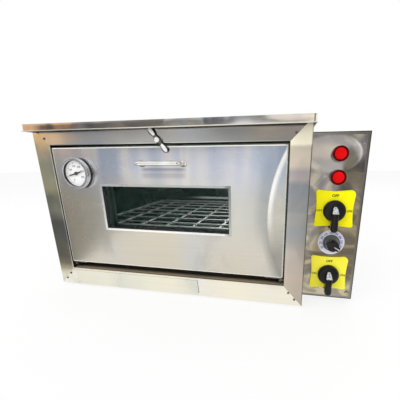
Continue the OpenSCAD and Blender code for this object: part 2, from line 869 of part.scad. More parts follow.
module handle_screws() {
    color(dark_steel) for (x = handle_posts) {
        along_y(x, -handle_screw_in, sheet, handle_z, handle_screw_r);
        along_y(x, sheet, sheet + handle_head_h, handle_z, handle_head_r);
    }
}

// Hinge: ears under the door's lower edge turn on pins held in plates inside the stiles
module door_hinge_ears() {
    ear_x0 = door_x0 + ear_in;
    color(dark_steel) both_sides() difference() {
        union() {
            slab([ear_x0, sheet, door_z0 - ear_base], [ear_x0 + ear_len, door_in, door_z0]);
            slab([ear_x0, hinge_y - boss_r, hinge_z], [ear_x0 + ear_t, hinge_y + boss_r, door_z0]);
            along_x(ear_x0, ear_x0 + ear_t, hinge_y, hinge_z, boss_r);
        }
        along_x(ear_x0 - over, ear_x0 + ear_t + over, hinge_y, hinge_z, pin_r + run);
    }
}
module hinge_pins() {
    pin_x0 = stile_w - sheet - hinge_plate_t;
    cap_x0 = door_x0 + ear_in + ear_t + fit;
    color(dark_steel) both_sides() {
        along_x(pin_x0, cap_x0, hinge_y, hinge_z, pin_r);
        along_x(cap_x0, cap_x0 + pin_cap_t, hinge_y, hinge_z, pin_cap_r);
    }
}
module hinge_plates() {
    plate_x0 = stile_w - sheet - hinge_plate_t;
    color(dark_steel) both_sides() difference() {
        slab([plate_x0, wall + fit, hinge_z - 2 * boss_r],
            [stile_w - sheet, frame_d - liner_t, hinge_z + 3 * boss_r]);
        along_x(plate_x0 - over, stile_w, hinge_y, hinge_z, pin_r + run);
    }
}

// Thermometer on the door: a cup with a dial, a needle on a spindle, a lens under a rolled bezel, and a probe
module thermometer_case() {
    color(steel) facing(thermo_mid, thermo_z) {
        difference() {
            cylinder(h = thermo_h, r = case_r);
            translate([0, 0, case_floor]) cylinder(h = thermo_h, r = case_in - dial_seat);
            translate([0, 0, dial_up]) cylinder(h = thermo_h, r = case_in);
            translate([0, 0, -over]) cylinder(h = case_floor + 2 * over, r = spindle_r + fit);
        }
        difference() {
            translate([0, 0, -door_d - nut_t - fit]) cylinder(h = door_d + nut_t + fit, r = neck_r);
            translate([0, 0, -over]) cylinder(h = 2 * over, r = spindle_r + fit);
        }
        translate([0, 0, -door_d - seat_gap - probe_len]) cylinder(h = seat_gap + probe_len, r = probe_r);
    }
}
module thermometer_bezel() {
    color(steel) facing(thermo_mid, thermo_z) {
        difference() {
            translate([0, 0, thermo_h - bezel_lip]) cylinder(h = bezel_lip + bezel_front, r = thermo_r);
            translate([0, 0, thermo_h - bezel_lip - over]) cylinder(h = bezel_lip + over, r = case_r + run);
            cylinder(h = thermo_h + bezel_front + over, r = case_in - 2);
        }
    }
}
module thermometer_dial() {
    color("white") facing(thermo_mid, thermo_z, -dial_up) difference() {
        cylinder(h = dial_t, r = case_in - fit);
        translate([0, 0, -over]) cylinder(h = dial_t + 2 * over, r = spindle_r + run);
    }
}
module thermometer_needle() {
    color(black) facing(thermo_mid, thermo_z) {
        translate([0, 0, case_floor]) cylinder(h = needle_up + needle_t / 2 - case_floor, r = spindle_r);
        translate([0, 0, needle_up - needle_t / 2]) cylinder(h = 2 * needle_t, r = 2 * needle_w);
        rotate([0, 0, needle_turn]) translate([0, 0, needle_up]) linear_extrude(needle_t) polygon([
            [-needle_short, -needle_w / 2],
            [0, -needle_w],
            [needle_long, -needle_w / 4],
            [needle_long, needle_w / 4],
            [0, needle_w],
            [-needle_short, needle_w / 2]
        ]);
    }
}
module thermometer_lens() {
    color("white", 0.3) facing(thermo_mid, thermo_z, fit - thermo_h)
        translate([0, 0, -lens_t]) cylinder(h = lens_t, r = case_in - fit);
}
module thermometer_nut() {
    color("#b08d57") facing(thermo_mid, thermo_z, door_d) difference() {
        translate([0, 0, -nut_t]) cylinder(h = nut_t, r = nut_r, $fn = 6);
        translate([0, 0, -nut_t - over]) cylinder(h = nut_t + 2 * over, r = neck_r + run);
    }
}

// Turn latch on the top rail, drawn at its stored slant
module latch_plan(edge) {
    circle(latch_hub_r - edge);
    for (s = [-1, 1]) translate([0, s * latch_arm]) circle(latch_r - edge);
    square([latch_neck_w - 2 * edge, 2 * latch_arm], center = true);
}
module turn_latch() {
    color(steel) facing(latch_mid, latch_z, -washer_t) rotate([0, 0, latch_turn]) difference() {
        union() {
            linear_extrude(latch_t) latch_plan(0);
            linear_extrude(latch_t + latch_pad_h) latch_plan(latch_pad_h);
        }
        translate([0, 0, -over]) cylinder(h = latch_t + latch_pad_h + 2 * over, r = latch_screw_r + run);
    }
}
module latch_pivot() {
    head_z = washer_t + latch_t + latch_pad_h + fit;
    nut_z = -sheet - latch_nut_t;
    slot_w = 1;
    color(dark_steel) facing(latch_mid, latch_z) {
        difference() {
            cylinder(h = washer_t - run, r = latch_hub_r);
            translate([0, 0, -over]) cylinder(h = washer_t + over, r = latch_screw_r + run);
        }
        difference() {
            union() {
                translate([0, 0, nut_z]) cylinder(h = head_z - nut_z, r = latch_screw_r);
                translate([0, 0, head_z]) cylinder(h = latch_head_h, r = latch_head_r);
            }
            translate([-latch_head_r, -slot_w / 2, head_z + latch_head_h - slot_w])
                cube([2 * latch_head_r, slot_w, 2 * slot_w]);
        }
        difference() {
            translate([0, 0, nut_z]) cylinder(h = latch_nut_t, r = latch_nut_r, $fn = 6);
            translate([0, 0, nut_z - over]) cylinder(h = latch_nut_t + 2 * over, r = latch_screw_r + run);
        }
    }
}

// Control box on the right: a folded shell, a front panel and a back plate
panel_screw_x = box_x1 - strip_w - screw_head_r - over;
panel_screw_spots = [
    [panel_screw_x, box_z1 - return_w],
    [panel_screw_x, box_z + return_w / 2 + strip_w / 2]
];
module panel_screw_set(r, y0, y1) { for (p = panel_screw_spots) along_y(p[0], y0, y1, p[1], r); }
module control_panel() {
    cut_y0 = panel_set - over;
    cut_y1 = shell_y0 + over;
    color(steel) difference() {
        slab([box_x0 + fit, panel_set, box_z + strip_w], [box_x1 - strip_w, shell_y0, box_z1 - strip_w]);
        for (z = lamp_spots) along_y(box_mid, cut_y0, cut_y1, z, lamp_body_r + run);
        for (z = switch_spots) along_y(box_mid, cut_y0, cut_y1, z, switch_neck_r + run);
        along_y(box_mid, cut_y0, cut_y1, thermostat_z, thermostat_neck_r + run);
        panel_screw_set(screw_r + run, cut_y0, cut_y1);
    }
}
module shell_returns(y0) {
    slab([box_x0, y0, box_z], [box_x1, y0 + sheet, box_z + return_w]);
    slab([box_x0, y0, box_z1 - return_w], [box_x1, y0 + sheet, box_z1]);
    slab([box_x1 - return_w, y0, box_z], [box_x1, y0 + sheet, box_z1]);
}
module control_box_shell() {
    side_y0 = frame_d + fit;
    switch_relief = switch_body_w / 2 + fit;
    color(steel) difference() {
        union() {
            slab([box_x0, shell_y0, box_z], [box_x1, shell_y1, box_z + sheet]);
            slab([box_x0, shell_y0, box_z1 - sheet], [box_x1, shell_y1, box_z1]);
            slab([box_x1 - sheet, shell_y0, box_z], [box_x1, shell_y1, box_z1]);
            slab([box_x0 - sheet, side_y0, box_z], [box_x0 + fit, shell_y1, box_z + flange_w]);
            slab([box_x0 - sheet, side_y0, box_z1 - flange_w], [box_x0 + fit, shell_y1, box_z1]);
            shell_returns(shell_y0);
            shell_returns(back_in);
        }
        panel_screw_set(screw_r + run, panel_set, shell_y0 + sheet + over);
        back_screw_set(screw_r + run, back_in - over, body_d);
        for (z = lamp_spots) along_y(box_mid, panel_set, shell_y0 + sheet + over, z, lamp_r + fit);
        for (z = switch_spots) slab([box_mid - switch_relief, panel_set, z - switch_relief],
            [box_mid + switch_relief, shell_y0 + sheet + over, z + switch_relief]);
    }
}
module control_box_back() {
    color(steel) difference() {
        slab([box_x0 - sheet + fit, shell_y1, box_z], [box_x1, body_d, box_z1]);
        back_screw_set(screw_r + run, shell_y1 - over, body_d + over);
        along_y(box_mid, shell_y1 - over, body_d + over, box_z + gland_up, gland_r + run);
    }
}
module panel_screws() {
    color(dark_steel) {
        panel_screw_set(screw_head_r, panel_set - screw_head_h, panel_set);
        panel_screw_set(screw_r, panel_set, shell_y0 + sheet + screw_head_h);
    }
}

// Pilot lamps
module lamp_housing(z) {
    color(red) facing(box_mid, z, panel_set) {
        difference() {
            union() {
                cylinder(h = lamp_bezel_h, r = lamp_r);
                translate([0, 0, -lamp_body_len]) cylinder(h = lamp_body_len, r = lamp_body_r);
            }
            translate([0, 0, over]) cylinder(h = lamp_bezel_h, r = lens_r + fit);
        }
        difference() {
            translate([0, 0, -sheet - lamp_nut_t]) cylinder(h = lamp_nut_t, r = lamp_r, $fn = 6);
            translate([0, 0, -sheet - lamp_nut_t - over])
                cylinder(h = lamp_nut_t + 2 * over, r = lamp_body_r + run);
        }
    }
}
module lamp_lens(z) {
    dome_r = 1.8 * lens_r;
    color(red) facing(box_mid, z, panel_set) intersection() {
        translate([0, 0, over]) cylinder(h = lens_out, r = lens_r);
        translate([0, 0, lens_out - dome_r]) sphere(dome_r);
    }
}
module upper_lamp_housing() { lamp_housing(lamp_spots[0]); }
module upper_lamp_lens() { lamp_lens(lamp_spots[0]); }
module lower_lamp_housing() { lamp_housing(lamp_spots[1]); }
module lower_lamp_lens() { lamp_lens(lamp_spots[1]); }

// Rotary switches: face plate, body behind the panel, and a round handle with a lever that hangs down at OFF
module switch_plate(z) {
    color(yellow) facing(box_mid, z, panel_set) linear_extrude(plate_t) difference() {
        translate([0, plate_rise]) rounded_rect(plate_w, plate_w, plate_corner_r);
        circle(switch_neck_r + run);
    }
}
module switch_body(z) {
    color(black) facing(box_mid, z, panel_set) difference() {
        union() {
            translate([-switch_body_w / 2, -switch_body_w / 2, -sheet - switch_body_d])
                cube([switch_body_w, switch_body_w, switch_body_d]);
            translate([0, 0, -sheet - over]) cylinder(h = sheet + over + plate_t, r = switch_neck_r);
        }
        translate([0, 0, plate_t - switch_bore]) cylinder(h = switch_bore + over, r = switch_shaft_r + run);
    }
}
module switch_handle(z) {
    base = plate_t + handle_run;
    top = plate_t + lever_h;
    chamfer = lever_w / 3;
    color(black) facing(box_mid, z, panel_set) {
        translate([0, 0, base]) cylinder(h = switch_disc_h, r = switch_disc_r);
        translate([0, 0, plate_t - switch_bore + handle_run])
            cylinder(h = switch_bore, r = switch_shaft_r);
        intersection() {
            linear_extrude(top) {
                translate([0, lever_w / 2 - lever_len]) circle(lever_w / 2);
                translate([-lever_w / 2, lever_w / 2 - lever_len]) square([lever_w, lever_len]);
            }
            translate([-lever_w / 2, 0, 0]) rotate([90, 0, 90]) linear_extrude(lever_w) polygon([
                [lever_rise, base + switch_disc_h - over],
                [-lever_rise / 2, top],
                [chamfer - lever_len, top],
                [-lever_len, top - chamfer],
                [-lever_len, base + lever_under],
                [lever_rise, base + lever_under]
            ]);
        }
    }
}
module upper_switch_plate() { switch_plate(switch_spots[0]); }
module upper_switch_body() { switch_body(switch_spots[0]); }
module upper_switch_handle() { switch_handle(switch_spots[0]); }
module lower_switch_plate() { switch_plate(switch_spots[1]); }
module lower_switch_body() { switch_body(switch_spots[1]); }
module lower_switch_handle() { switch_handle(switch_spots[1]); }

// Thermostat: scale plate, body, knob, and a capillary that ends in a bulb inside the chamber
module thermostat_scale() {
    color("#e4e4f0") facing(box_mid, thermostat_z, panel_set) difference() {
        cylinder(h = scale_t, r = scale_r);
        translate([0, 0, -over]) cylinder(h = scale_t + 2 * over, r = scale_hole_r);
    }
}
module thermostat_body() {
    color(dark_steel) facing(box_mid, thermostat_z, panel_set) difference() {
        union() {
            translate([-thermostat_w / 2, -thermostat_w / 2, -sheet - thermostat_d])
                cube([thermostat_w, thermostat_w, thermostat_d]);
            translate([0, 0, -sheet - over]) cylinder(h = sheet + over + scale_t, r = thermostat_neck_r);
        }
        translate([0, 0, scale_t - knob_bore]) cylinder(h = knob_bore + over, r = knob_shaft_r + run);
    }
}
module thermostat_knob() {
    base = scale_t + handle_run;
    grip_h = knob_out - base - knob_skirt_h;
    color(black) facing(box_mid, thermostat_z, panel_set) rotate([0, 0, knob_turn]) {
        translate([0, 0, base]) cylinder(h = knob_skirt_h, r = knob_skirt_r);
        translate([0, 0, base + knob_skirt_h]) cylinder(h = grip_h, r1 = knob_r, r2 = knob_nose_r);
        translate([0, 0, base + knob_skirt_h]) intersection() {
            cylinder(h = grip_h, r = knob_r);
            translate([-knob_r, -knob_r / 3, 0]) cube([2 * knob_r, 2 * knob_r / 3, grip_h]);
        }
        translate([0, 0, scale_t - knob_bore + handle_run]) cylinder(h = knob_bore, r = knob_shaft_r);
    }
}
module thermostat_capillary() {
    color("#b87333") {
        bent_tube([
            [box_mid, capillary_y0, thermostat_z],
            [box_mid, capillary_y1, thermostat_z],
            [box_mid, capillary_y1, bulb_z],
            [bulb_x, capillary_y1, bulb_z],
            [bulb_x, capillary_y2, bulb_z]
        ], capillary_r, capillary_bend);
        along_y(bulb_x, capillary_y2, capillary_y2 + bulb_len, bulb_z, bulb_r);
    }
}

// Supply side: terminal block on the control box's floor, cable gland in its back plate, and a few wires
block_x0 = box_mid - block_len / 2;
block_poles = 4;
pole_pitch = block_len / block_poles;
function pole_x(i) = block_x0 + (i + 0.5) * pole_pitch;
module terminal_block() {
    hole_r = 2.2;
    hole_deep = block_h / 2;
    color("white") difference() {
        slab([block_x0, block_y, block_z], [block_x0 + block_len, block_y + block_w, block_z + block_h]);
        for (i = [0 : block_poles - 1]) {
            along_z(pole_x(i), block_y + block_w / 2, block_z + hole_deep, block_z + block_h + over, hole_r);
        }
    }
}
module cable_gland() {
    collar_h = 6;
    hex_r = gland_r + 3.5;
    tail = 10;
    lock_t = 5;
    color(black) translate([box_mid, body_d, box_z + gland_up]) rotate([-90, 0, 0]) {
        difference() {
            union() {
                translate([0, 0, -sheet - tail]) cylinder(h = sheet + tail + collar_h, r = gland_r);
                cylinder(h = collar_h, r = hex_r, $fn = 6);
                translate([0, 0, collar_h]) cylinder(h = gland_out - collar_h, r = gland_r + over);
            }
            translate([0, 0, -sheet - tail - over])
                cylinder(h = gland_out + sheet + tail + 2 * over, r = gland_bore_r);
        }
        difference() {
            translate([0, 0, -sheet - lock_t]) cylinder(h = lock_t, r = hex_r, $fn = 6);
            translate([0, 0, -sheet - lock_t - over]) cylinder(h = lock_t + 2 * over, r = gland_r + run);
        }
    }
}
module wiring() {
    top = block_z + block_h;
    color(red) for (i = [0 : 1]) {
        z = switch_spots[1 - i];
        back_y = shell_y0 + switch_body_d;
        bent_tube([
            [pole_x(i), block_y + block_w / 2, top - block_h / 2],
            [pole_x(i), block_y + block_w / 2, z + wire_lift],
            [pole_x(i), back_y, z + wire_lift]
        ], wire_r, wire_bend);
    }
    color("white") for (i = [0 : 1]) {
        z = [lower_element_z, upper_element_z][i];
        x = element_end + element_pin_len;
        bent_tube([
            [pole_x(2 + i), block_y + block_w / 2, top - block_h / 2],
            [pole_x(2 + i), block_y + block_w / 2, z],
            [pole_x(2 + i), element_y1, z],
            [x, element_y1, z]
        ], wire_r, wire_bend);
    }
}

place() frame_left_stile();
place() frame_right_stile();
place() frame_top_rail();
place() frame_bottom_rail();
place() frame_rivets();
place() top_cover();
place() left_side_panel();
place() right_side_panel();
place() base_pan();
place() back_panel();
place() back_screws();
place() rubber_feet();
place() chamber_liner();
place() chamber_wool();
place() rack_runners();
place() wire_rack();
place() upper_element();
place() lower_element();
place() element_brackets();
place() door_skin();
place() door_liner();
place() door_wool();
place() window_bezel();
place() outer_glass();
place() inner_glass();
place() window_sleeve();
place() door_handle();
place() handle_screws();
place() door_hinge_ears();
place() hinge_pins();
place() hinge_plates();
place() thermometer_case();
place() thermometer_bezel();
place() thermometer_dial();
place() thermometer_needle();
place() thermometer_lens();
place() thermometer_nut();
place() turn_latch();
place() latch_pivot();
place() control_panel();
place() control_box_shell();
place() control_box_back();
place() panel_screws();
place() upper_lamp_housing();
place() upper_lamp_lens();
place() lower_lamp_housing();
place() lower_lamp_lens();
place() upper_switch_plate();
place() upper_switch_body();
place() upper_switch_handle();
place() lower_switch_plate();
place() lower_switch_body();
place() lower_switch_handle();
place() thermostat_scale();
place() thermostat_body();
place() thermostat_knob();
place() thermostat_capillary();
place() terminal_block();
place() cable_gland();
place() wiring();
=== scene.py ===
import bpy
import bmesh
import math
from mathutils import Matrix, Vector


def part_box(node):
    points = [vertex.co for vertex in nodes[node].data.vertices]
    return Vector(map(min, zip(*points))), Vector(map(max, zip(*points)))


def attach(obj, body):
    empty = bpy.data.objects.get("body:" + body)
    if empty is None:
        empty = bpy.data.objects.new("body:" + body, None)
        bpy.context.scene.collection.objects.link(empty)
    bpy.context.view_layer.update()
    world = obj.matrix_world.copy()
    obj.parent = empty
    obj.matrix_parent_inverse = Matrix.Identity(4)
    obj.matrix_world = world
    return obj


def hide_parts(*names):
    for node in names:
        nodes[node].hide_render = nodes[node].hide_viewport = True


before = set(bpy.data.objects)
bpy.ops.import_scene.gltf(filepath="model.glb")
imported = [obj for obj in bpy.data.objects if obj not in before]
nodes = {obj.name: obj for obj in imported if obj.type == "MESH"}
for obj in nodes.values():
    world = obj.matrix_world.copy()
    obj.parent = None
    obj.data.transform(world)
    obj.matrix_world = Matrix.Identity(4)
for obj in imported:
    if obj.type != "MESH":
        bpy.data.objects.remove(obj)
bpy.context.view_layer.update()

# Studio: a pale seamless floor under soft lamps, with coloured flags in front of the oven for its steel to mirror.
# The camera stands close to the door, right of the middle and about level with the cover.
scene = bpy.context.scene
scene.view_settings.view_transform = "Standard"
camera_optics = bpy.data.cameras.new("camera")
camera_optics.sensor_width = 36.0
camera_optics.lens = 22.34
camera_optics.shift_x = -0.1003
camera_optics.shift_y = 0.0705
camera_optics.clip_start = 0.01
camera = bpy.data.objects.new("camera", camera_optics)
camera_spot = Matrix.Translation((0.1795, -0.6235, 0.2613))
camera_swing, camera_tilt, camera_roll = (math.radians(turn) for turn in (11.16, 74.64, -0.26))
camera_turn = Matrix.Rotation(camera_swing, 4, "Z") @ Matrix.Rotation(camera_tilt, 4, "X")
camera.matrix_world = camera_spot @ camera_turn @ Matrix.Rotation(camera_roll, 4, "Z")
scene.collection.objects.link(camera)
scene.camera = camera


def seen_by_eye_or_mirror(tree):
    """1 for rays that come from the camera, a mirror or glass, else 0."""
    path = tree.nodes.new("ShaderNodeLightPath")
    seen = path.outputs["Is Camera Ray"]
    for ray in ("Is Glossy Ray", "Is Transmission Ray"):
        either = tree.nodes.new("ShaderNodeMath")
        either.operation = "MAXIMUM"
        tree.links.new(seen, either.inputs[0])
        tree.links.new(path.outputs[ray], either.inputs[1])
        seen = either.outputs[0]
    return seen


surround = bpy.data.worlds.new("studio")
surround.use_nodes = True
scene.world = surround
sky_tree = surround.node_tree
sky = sky_tree.nodes["Background"]
sky.inputs["Color"].default_value = (1.0, 1.0, 1.0, 1.0)
sky_level = sky_tree.nodes.new("ShaderNodeMapRange")
sky_level.inputs["To Min"].default_value = 0.8
sky_level.inputs["To Max"].default_value = 1.0
sky_tree.links.new(seen_by_eye_or_mirror(sky_tree), sky_level.inputs["Value"])
sky_tree.links.new(sky_level.outputs["Result"], sky.inputs["Strength"])


def stage_sheet(name, paint, tint, corners):
    """A matt sheet of the studio."""
    shape = bpy.data.meshes.new(name)
    shape.from_pydata(corners, [], [(0, 1, 2, 3)])
    finish = bpy.data.materials.new(paint)
    finish.use_nodes = True
    matt = finish.node_tree.nodes["Principled BSDF"]
    matt.inputs["Base Color"].default_value = (*tint, 1.0)
    matt.inputs["Roughness"].default_value = 0.9
    shape.materials.append(finish)
    sheet = bpy.data.objects.new(name, shape)
    scene.collection.objects.link(sheet)
    return sheet


floor_corners = [(-6, -6, 0), (6, -6, 0), (6, 6, 0), (-6, 6, 0)]
floor = stage_sheet("floor", "floor_paint", (0.96, 0.96, 0.96), floor_corners)
floor_tree = floor.data.materials[0].node_tree
floor_glow = floor_tree.nodes.new("ShaderNodeEmission")
floor_share = floor_tree.nodes.new("ShaderNodeMath")
floor_share.operation = "MULTIPLY"
floor_share.inputs[1].default_value = 0.8
floor_mix = floor_tree.nodes.new("ShaderNodeMixShader")
floor_tree.links.new(seen_by_eye_or_mirror(floor_tree), floor_share.inputs[0])
floor_tree.links.new(floor_share.outputs[0], floor_mix.inputs[0])
floor_tree.links.new(floor_tree.nodes["Principled BSDF"].outputs[0], floor_mix.inputs[1])
floor_tree.links.new(floor_glow.outputs[0], floor_mix.inputs[2])
floor_tree.links.new(floor_mix.outputs[0], floor_tree.nodes["Material Output"].inputs["Surface"])

standing_flags = (
    ("stile_flag", (0.4, 0.41, 0.36), (-3.4, -0.9), (-1.68, -1.54), 0.0, 0.34),
    ("left_flag", (0.32, 0.34, 0.38), (-1.68, -1.54), (-1.25, -1.7), 0.0, 0.33),
    ("tan_flag", (0.95, 0.62, 0.34), (-3.4, -0.9), (-1.6, -1.57), 0.34, 0.75),
    ("dark_flag", (0.2, 0.2, 0.19), (-1.6, -1.57), (-0.9, -1.83), 0.46, 0.75),
    ("right_flag", (0.26, 0.25, 0.22), (0.46, -1.05), (1.5, -0.8), 0.0, 1.3),
    ("high_flag", (0.5, 0.52, 0.57), (-3.5, -2.0), (1.5, -2.0), 0.37, 0.85),
    ("rail_flag", (0.34, 0.34, 0.3), (-2.2, -1.98), (0.3, -1.98), 0.43, 0.5),
    ("navy_flag", (0.13, 0.14, 0.19), (-0.48, -1.95), (-0.28, -1.95), 0.5, 0.85),
    ("olive_flag", (0.26, 0.27, 0.24), (-0.21, -1.95), (-0.09, -1.95), 0.5, 0.85),
    ("cream_flag", (0.95, 0.88, 0.8), (-0.09, -1.95), (1.2, -1.95), 0.5, 0.85),
)
lying_flags = (
    ("low_flag", (0.34, 0.33, 0.31), 0.004, ((-0.33, -0.27), (-3, -0.27), (-3, -1.6), (-0.9, -1.6))),
    ("side_flag", (0.2, 0.2, 0.19), 0.006, ((-0.35, -0.292), (-3, -0.292), (-3, -1.6), (-1.75, -1.6))),
    ("near_flag", (0.5, 0.46, 0.36), 0.004, ((0.225, -0.3), (0.9, -0.3), (0.9, -1.3), (0.285, -1.3))),
)
flags = [(name, tint, [(*a, low), (*b, low), (*b, top), (*a, top)]) for name, tint, a, b, low, top in standing_flags]
flags += [(name, tint, [(*spot, height) for spot in spots]) for name, tint, height, spots in lying_flags]
for flag_name, flag_tint, flag_corners in flags:
    flag = stage_sheet(flag_name, flag_name + "_cloth", flag_tint, flag_corners)
    flag.visible_camera = flag.visible_diffuse = flag.visible_shadow = flag.visible_transmission = False

lamp_aim = Vector((0, 0, 0.13))
for lamp_name, lamp_watts, lamp_size, lamp_spot in (
    ("key_lamp", 18.0, 1.5, (-1.0, -1.5, 1.9)),
    ("fill_lamp", 9.0, 1.5, (1.5, -1.2, 1.5)),
    ("back_lamp", 9.0, 1.8, (0.3, 1.7, 1.9)),
    ("chamber_lamp", 0.62, 0.08, (0.14, -0.13, 0.235)),
):
    lamp_light = bpy.data.lights.new(lamp_name, "AREA")
    lamp_light.energy = lamp_watts
    lamp_light.size = lamp_size
    lamp = bpy.data.objects.new(lamp_name, lamp_light)
    lamp.location = lamp_spot
    lamp.rotation_euler = (lamp_aim - Vector(lamp_spot)).to_track_quat("-Z", "Y").to_euler()
    lamp.visible_camera = lamp.visible_glossy = False
    scene.collection.objects.link(lamp)

# Front frame: four bars of thin polished stainless sheet, bent to channels on a brake and mitred at the corners.
# Handling leaves smudges and fine scratches, and the bends catch the light. Painted reflections lie along the top rail
# and the stiles as bands of light and dark tone, and the walls of the gaps round the door are painted shade.
def new_finish(name):
    finish = bpy.data.materials.new(name)
    finish.use_nodes = True
    return finish


def graph_of(finish):
    return finish.node_tree, finish.node_tree.nodes["Principled BSDF"]


def drawn_space(tree, stretch=(1.0, 1.0, 1.0)):
    """The oven's own metres, stretched for streaks."""
    place = tree.nodes.new("ShaderNodeTexCoord")
    spread = tree.nodes.new("ShaderNodeMapping")
    spread.inputs["Scale"].default_value = stretch
    tree.links.new(place.outputs["Object"], spread.inputs["Vector"])
    return spread.outputs["Vector"]


def drawn_axis(tree, axis):
    split = tree.nodes.new("ShaderNodeSeparateXYZ")
    tree.links.new(drawn_space(tree), split.inputs[0])
    return split.outputs[axis]


def clouds(tree, scale, detail=3.0, twist=0.0, stretch=(1.0, 1.0, 1.0)):
    cloud = tree.nodes.new("ShaderNodeTexNoise")
    cloud.inputs["Scale"].default_value = scale
    cloud.inputs["Detail"].default_value = detail
    cloud.inputs["Distortion"].default_value = twist
    tree.links.new(drawn_space(tree, stretch), cloud.inputs["Vector"])
    return cloud.outputs["Fac"]


def tint_ramp(tree, amount, stops):
    """Tints by an amount, through (place, tint) stops. One number is a grey."""
    ramp = tree.nodes.new("ShaderNodeValToRGB")
    while len(ramp.color_ramp.elements) < len(stops):
        ramp.color_ramp.elements.new(0.5)
    for element, (where, tint) in zip(ramp.color_ramp.elements, stops):
        element.position = where
        element.color = (*tint, 1.0) if isinstance(tint, tuple) else (tint, tint, tint, 1.0)
    tree.links.new(amount, ramp.inputs["Fac"])
    return ramp.outputs["Color"]


def level(tree, amount, low, high, start=0.0, end=1.0):
    span = tree.nodes.new("ShaderNodeMapRange")
    span.inputs["From Min"].default_value = start
    span.inputs["From Max"].default_value = end
    span.inputs["To Min"].default_value = low
    span.inputs["To Max"].default_value = high
    tree.links.new(amount, span.inputs["Value"])
    return span.outputs["Result"]


def laid_over(tree, how, share, under, upper):
    mix = tree.nodes.new("ShaderNodeMix")
    mix.data_type = "RGBA"
    mix.blend_type = how
    for source, socket in ((share, mix.inputs[0]), (under, mix.inputs[6]), (upper, mix.inputs[7])):
        if isinstance(source, (int, float)):
            socket.default_value = source
        elif isinstance(source, tuple):
            socket.default_value = (*source, 1.0)
        else:
            tree.links.new(source, socket)
    return mix.outputs[2]


def lay_tone(finish, how, share, upper):
    """Lays a tone over the colour that a finish has so far."""
    tree, shader = graph_of(finish)
    colour = shader.inputs["Base Color"]
    tree.links.new(laid_over(tree, how, share, colour.links[0].from_socket, upper), colour)


def tone_along(finish, axis, start, end, stops, share=1.0):
    """Tints a finish in soft bands between two places on an axis."""
    tree = finish.node_tree
    bands = tint_ramp(tree, level(tree, drawn_axis(tree, axis), 0.0, 1.0, start, end), stops)
    lay_tone(finish, "MULTIPLY", share, bands)


def relief(finish, *layers):
    """Bumps from (height, strength, depth in metres), coarse to fine."""
    tree, shader = graph_of(finish)
    below = None
    for height, strength, depth in layers:
        bump = tree.nodes.new("ShaderNodeBump")
        bump.inputs["Strength"].default_value = strength
        bump.inputs["Distance"].default_value = depth
        tree.links.new(height, bump.inputs["Height"])
        if below is not None:
            tree.links.new(below, bump.inputs["Normal"])
        below = bump.outputs["Normal"]
    tree.links.new(below, shader.inputs["Normal"])


def sheet_steel(
    name, warm, mild, cool, shade, rough=0.26, grain="x", wave=0.35, ripple=4.0,
    bands=(9, 9, 3), blend=0.14, twist=0.4, metal=1.0,
):
    """Polished stainless: soft bands of warm and cool tone, faint smudges, grain along one axis, an uneven face."""
    finish = new_finish(name)
    tree, shader = graph_of(finish)
    along = {"x": (2.0, 260.0, 260.0), "z": (260.0, 260.0, 2.0)}[grain]
    mottle = clouds(tree, 1.0, 1.5, twist, bands)
    patches = tint_ramp(tree, mottle, [(0.5 - blend, warm), (0.5, mild), (0.5 + blend, cool)])
    smears = clouds(tree, 9.0, twist=1.2)
    smudged = laid_over(tree, "MIX", level(tree, smears, 0.0, 0.5, 0.54, 0.8), patches, shade)
    scratches = clouds(tree, 1.0, 2.0, 0.0, along)
    streaks = tint_ramp(tree, scratches, [(0.3, 0.97), (0.7, 1)])
    tree.links.new(laid_over(tree, "MULTIPLY", 1.0, smudged, streaks), shader.inputs["Base Color"])
    tree.links.new(level(tree, smears, rough, rough + 0.12, 0.4, 0.75), shader.inputs["Roughness"])
    shader.inputs["Metallic"].default_value = metal
    relief(finish, (clouds(tree, ripple, 1.0), wave, 0.012), (scratches, 0.012, 0.0004))
    return finish


def hold_flat(piece):
    """Keeps broad faces flat beside their rolled edges."""
    flat = piece.modifiers.new("flat_faces", "WEIGHTED_NORMAL")
    flat.mode = "FACE_AREA"
    flat.weight = 90


def new_piece(name, points, faces, body, slot, finish, *replaced):
    """A piece made here in the oven's own metres. It rides on a body and may stand for CAD pieces."""
    shape = bpy.data.meshes.new(name)
    shape.from_pydata(points, [], faces)
    skin = bmesh.new()
    skin.from_mesh(shape)
    bmesh.ops.recalc_face_normals(skin, faces=skin.faces)
    skin.to_mesh(shape)
    skin.free()
    shape.shade_smooth()
    shape.set_sharp_from_angle(angle=math.radians(40))
    shape.materials.append(finish)
    piece = bpy.data.objects.new(name, shape)
    scene.collection.objects.link(piece)
    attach(piece, body)
    if replaced:
        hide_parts(*replaced)
    return piece


frame_left, frame_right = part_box("frame_left_stile")[0].x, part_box("frame_right_stile")[1].x
frame_base, frame_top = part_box("frame_bottom_rail")[0].z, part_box("frame_top_rail")[1].z
mouth_left, mouth_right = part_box("frame_left_stile")[1].x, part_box("frame_right_stile")[0].x
mouth_base, mouth_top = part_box("frame_bottom_rail")[1].z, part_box("frame_top_rail")[0].z
frame_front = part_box("frame_bottom_rail")[0].y
rail_steel = sheet_steel(
    "rail_steel", (0.95, 0.91, 0.84), (0.88, 0.88, 0.86), (0.78, 0.81, 0.88), (0.55, 0.53, 0.49), 0.18, wave=0.15
)
# Painted reflections: bands of light and dark tone along the top rail.
tone_along(rail_steel, "X", frame_left, frame_right, [
    (0.1, (1, 0.95, 0.87)), (0.15, (0.76, 0.77, 0.77)), (0.6, (0.76, 0.77, 0.78)), (0.76, (0.6, 0.58, 0.55)),
    (0.92, (0.38, 0.36, 0.34)),
])
sill_steel = sheet_steel(
    "sill_steel", (0.95, 0.9, 0.74), (0.92, 0.88, 0.75), (0.9, 0.88, 0.8), (0.7, 0.67, 0.56), 0.22, wave=0.1
)
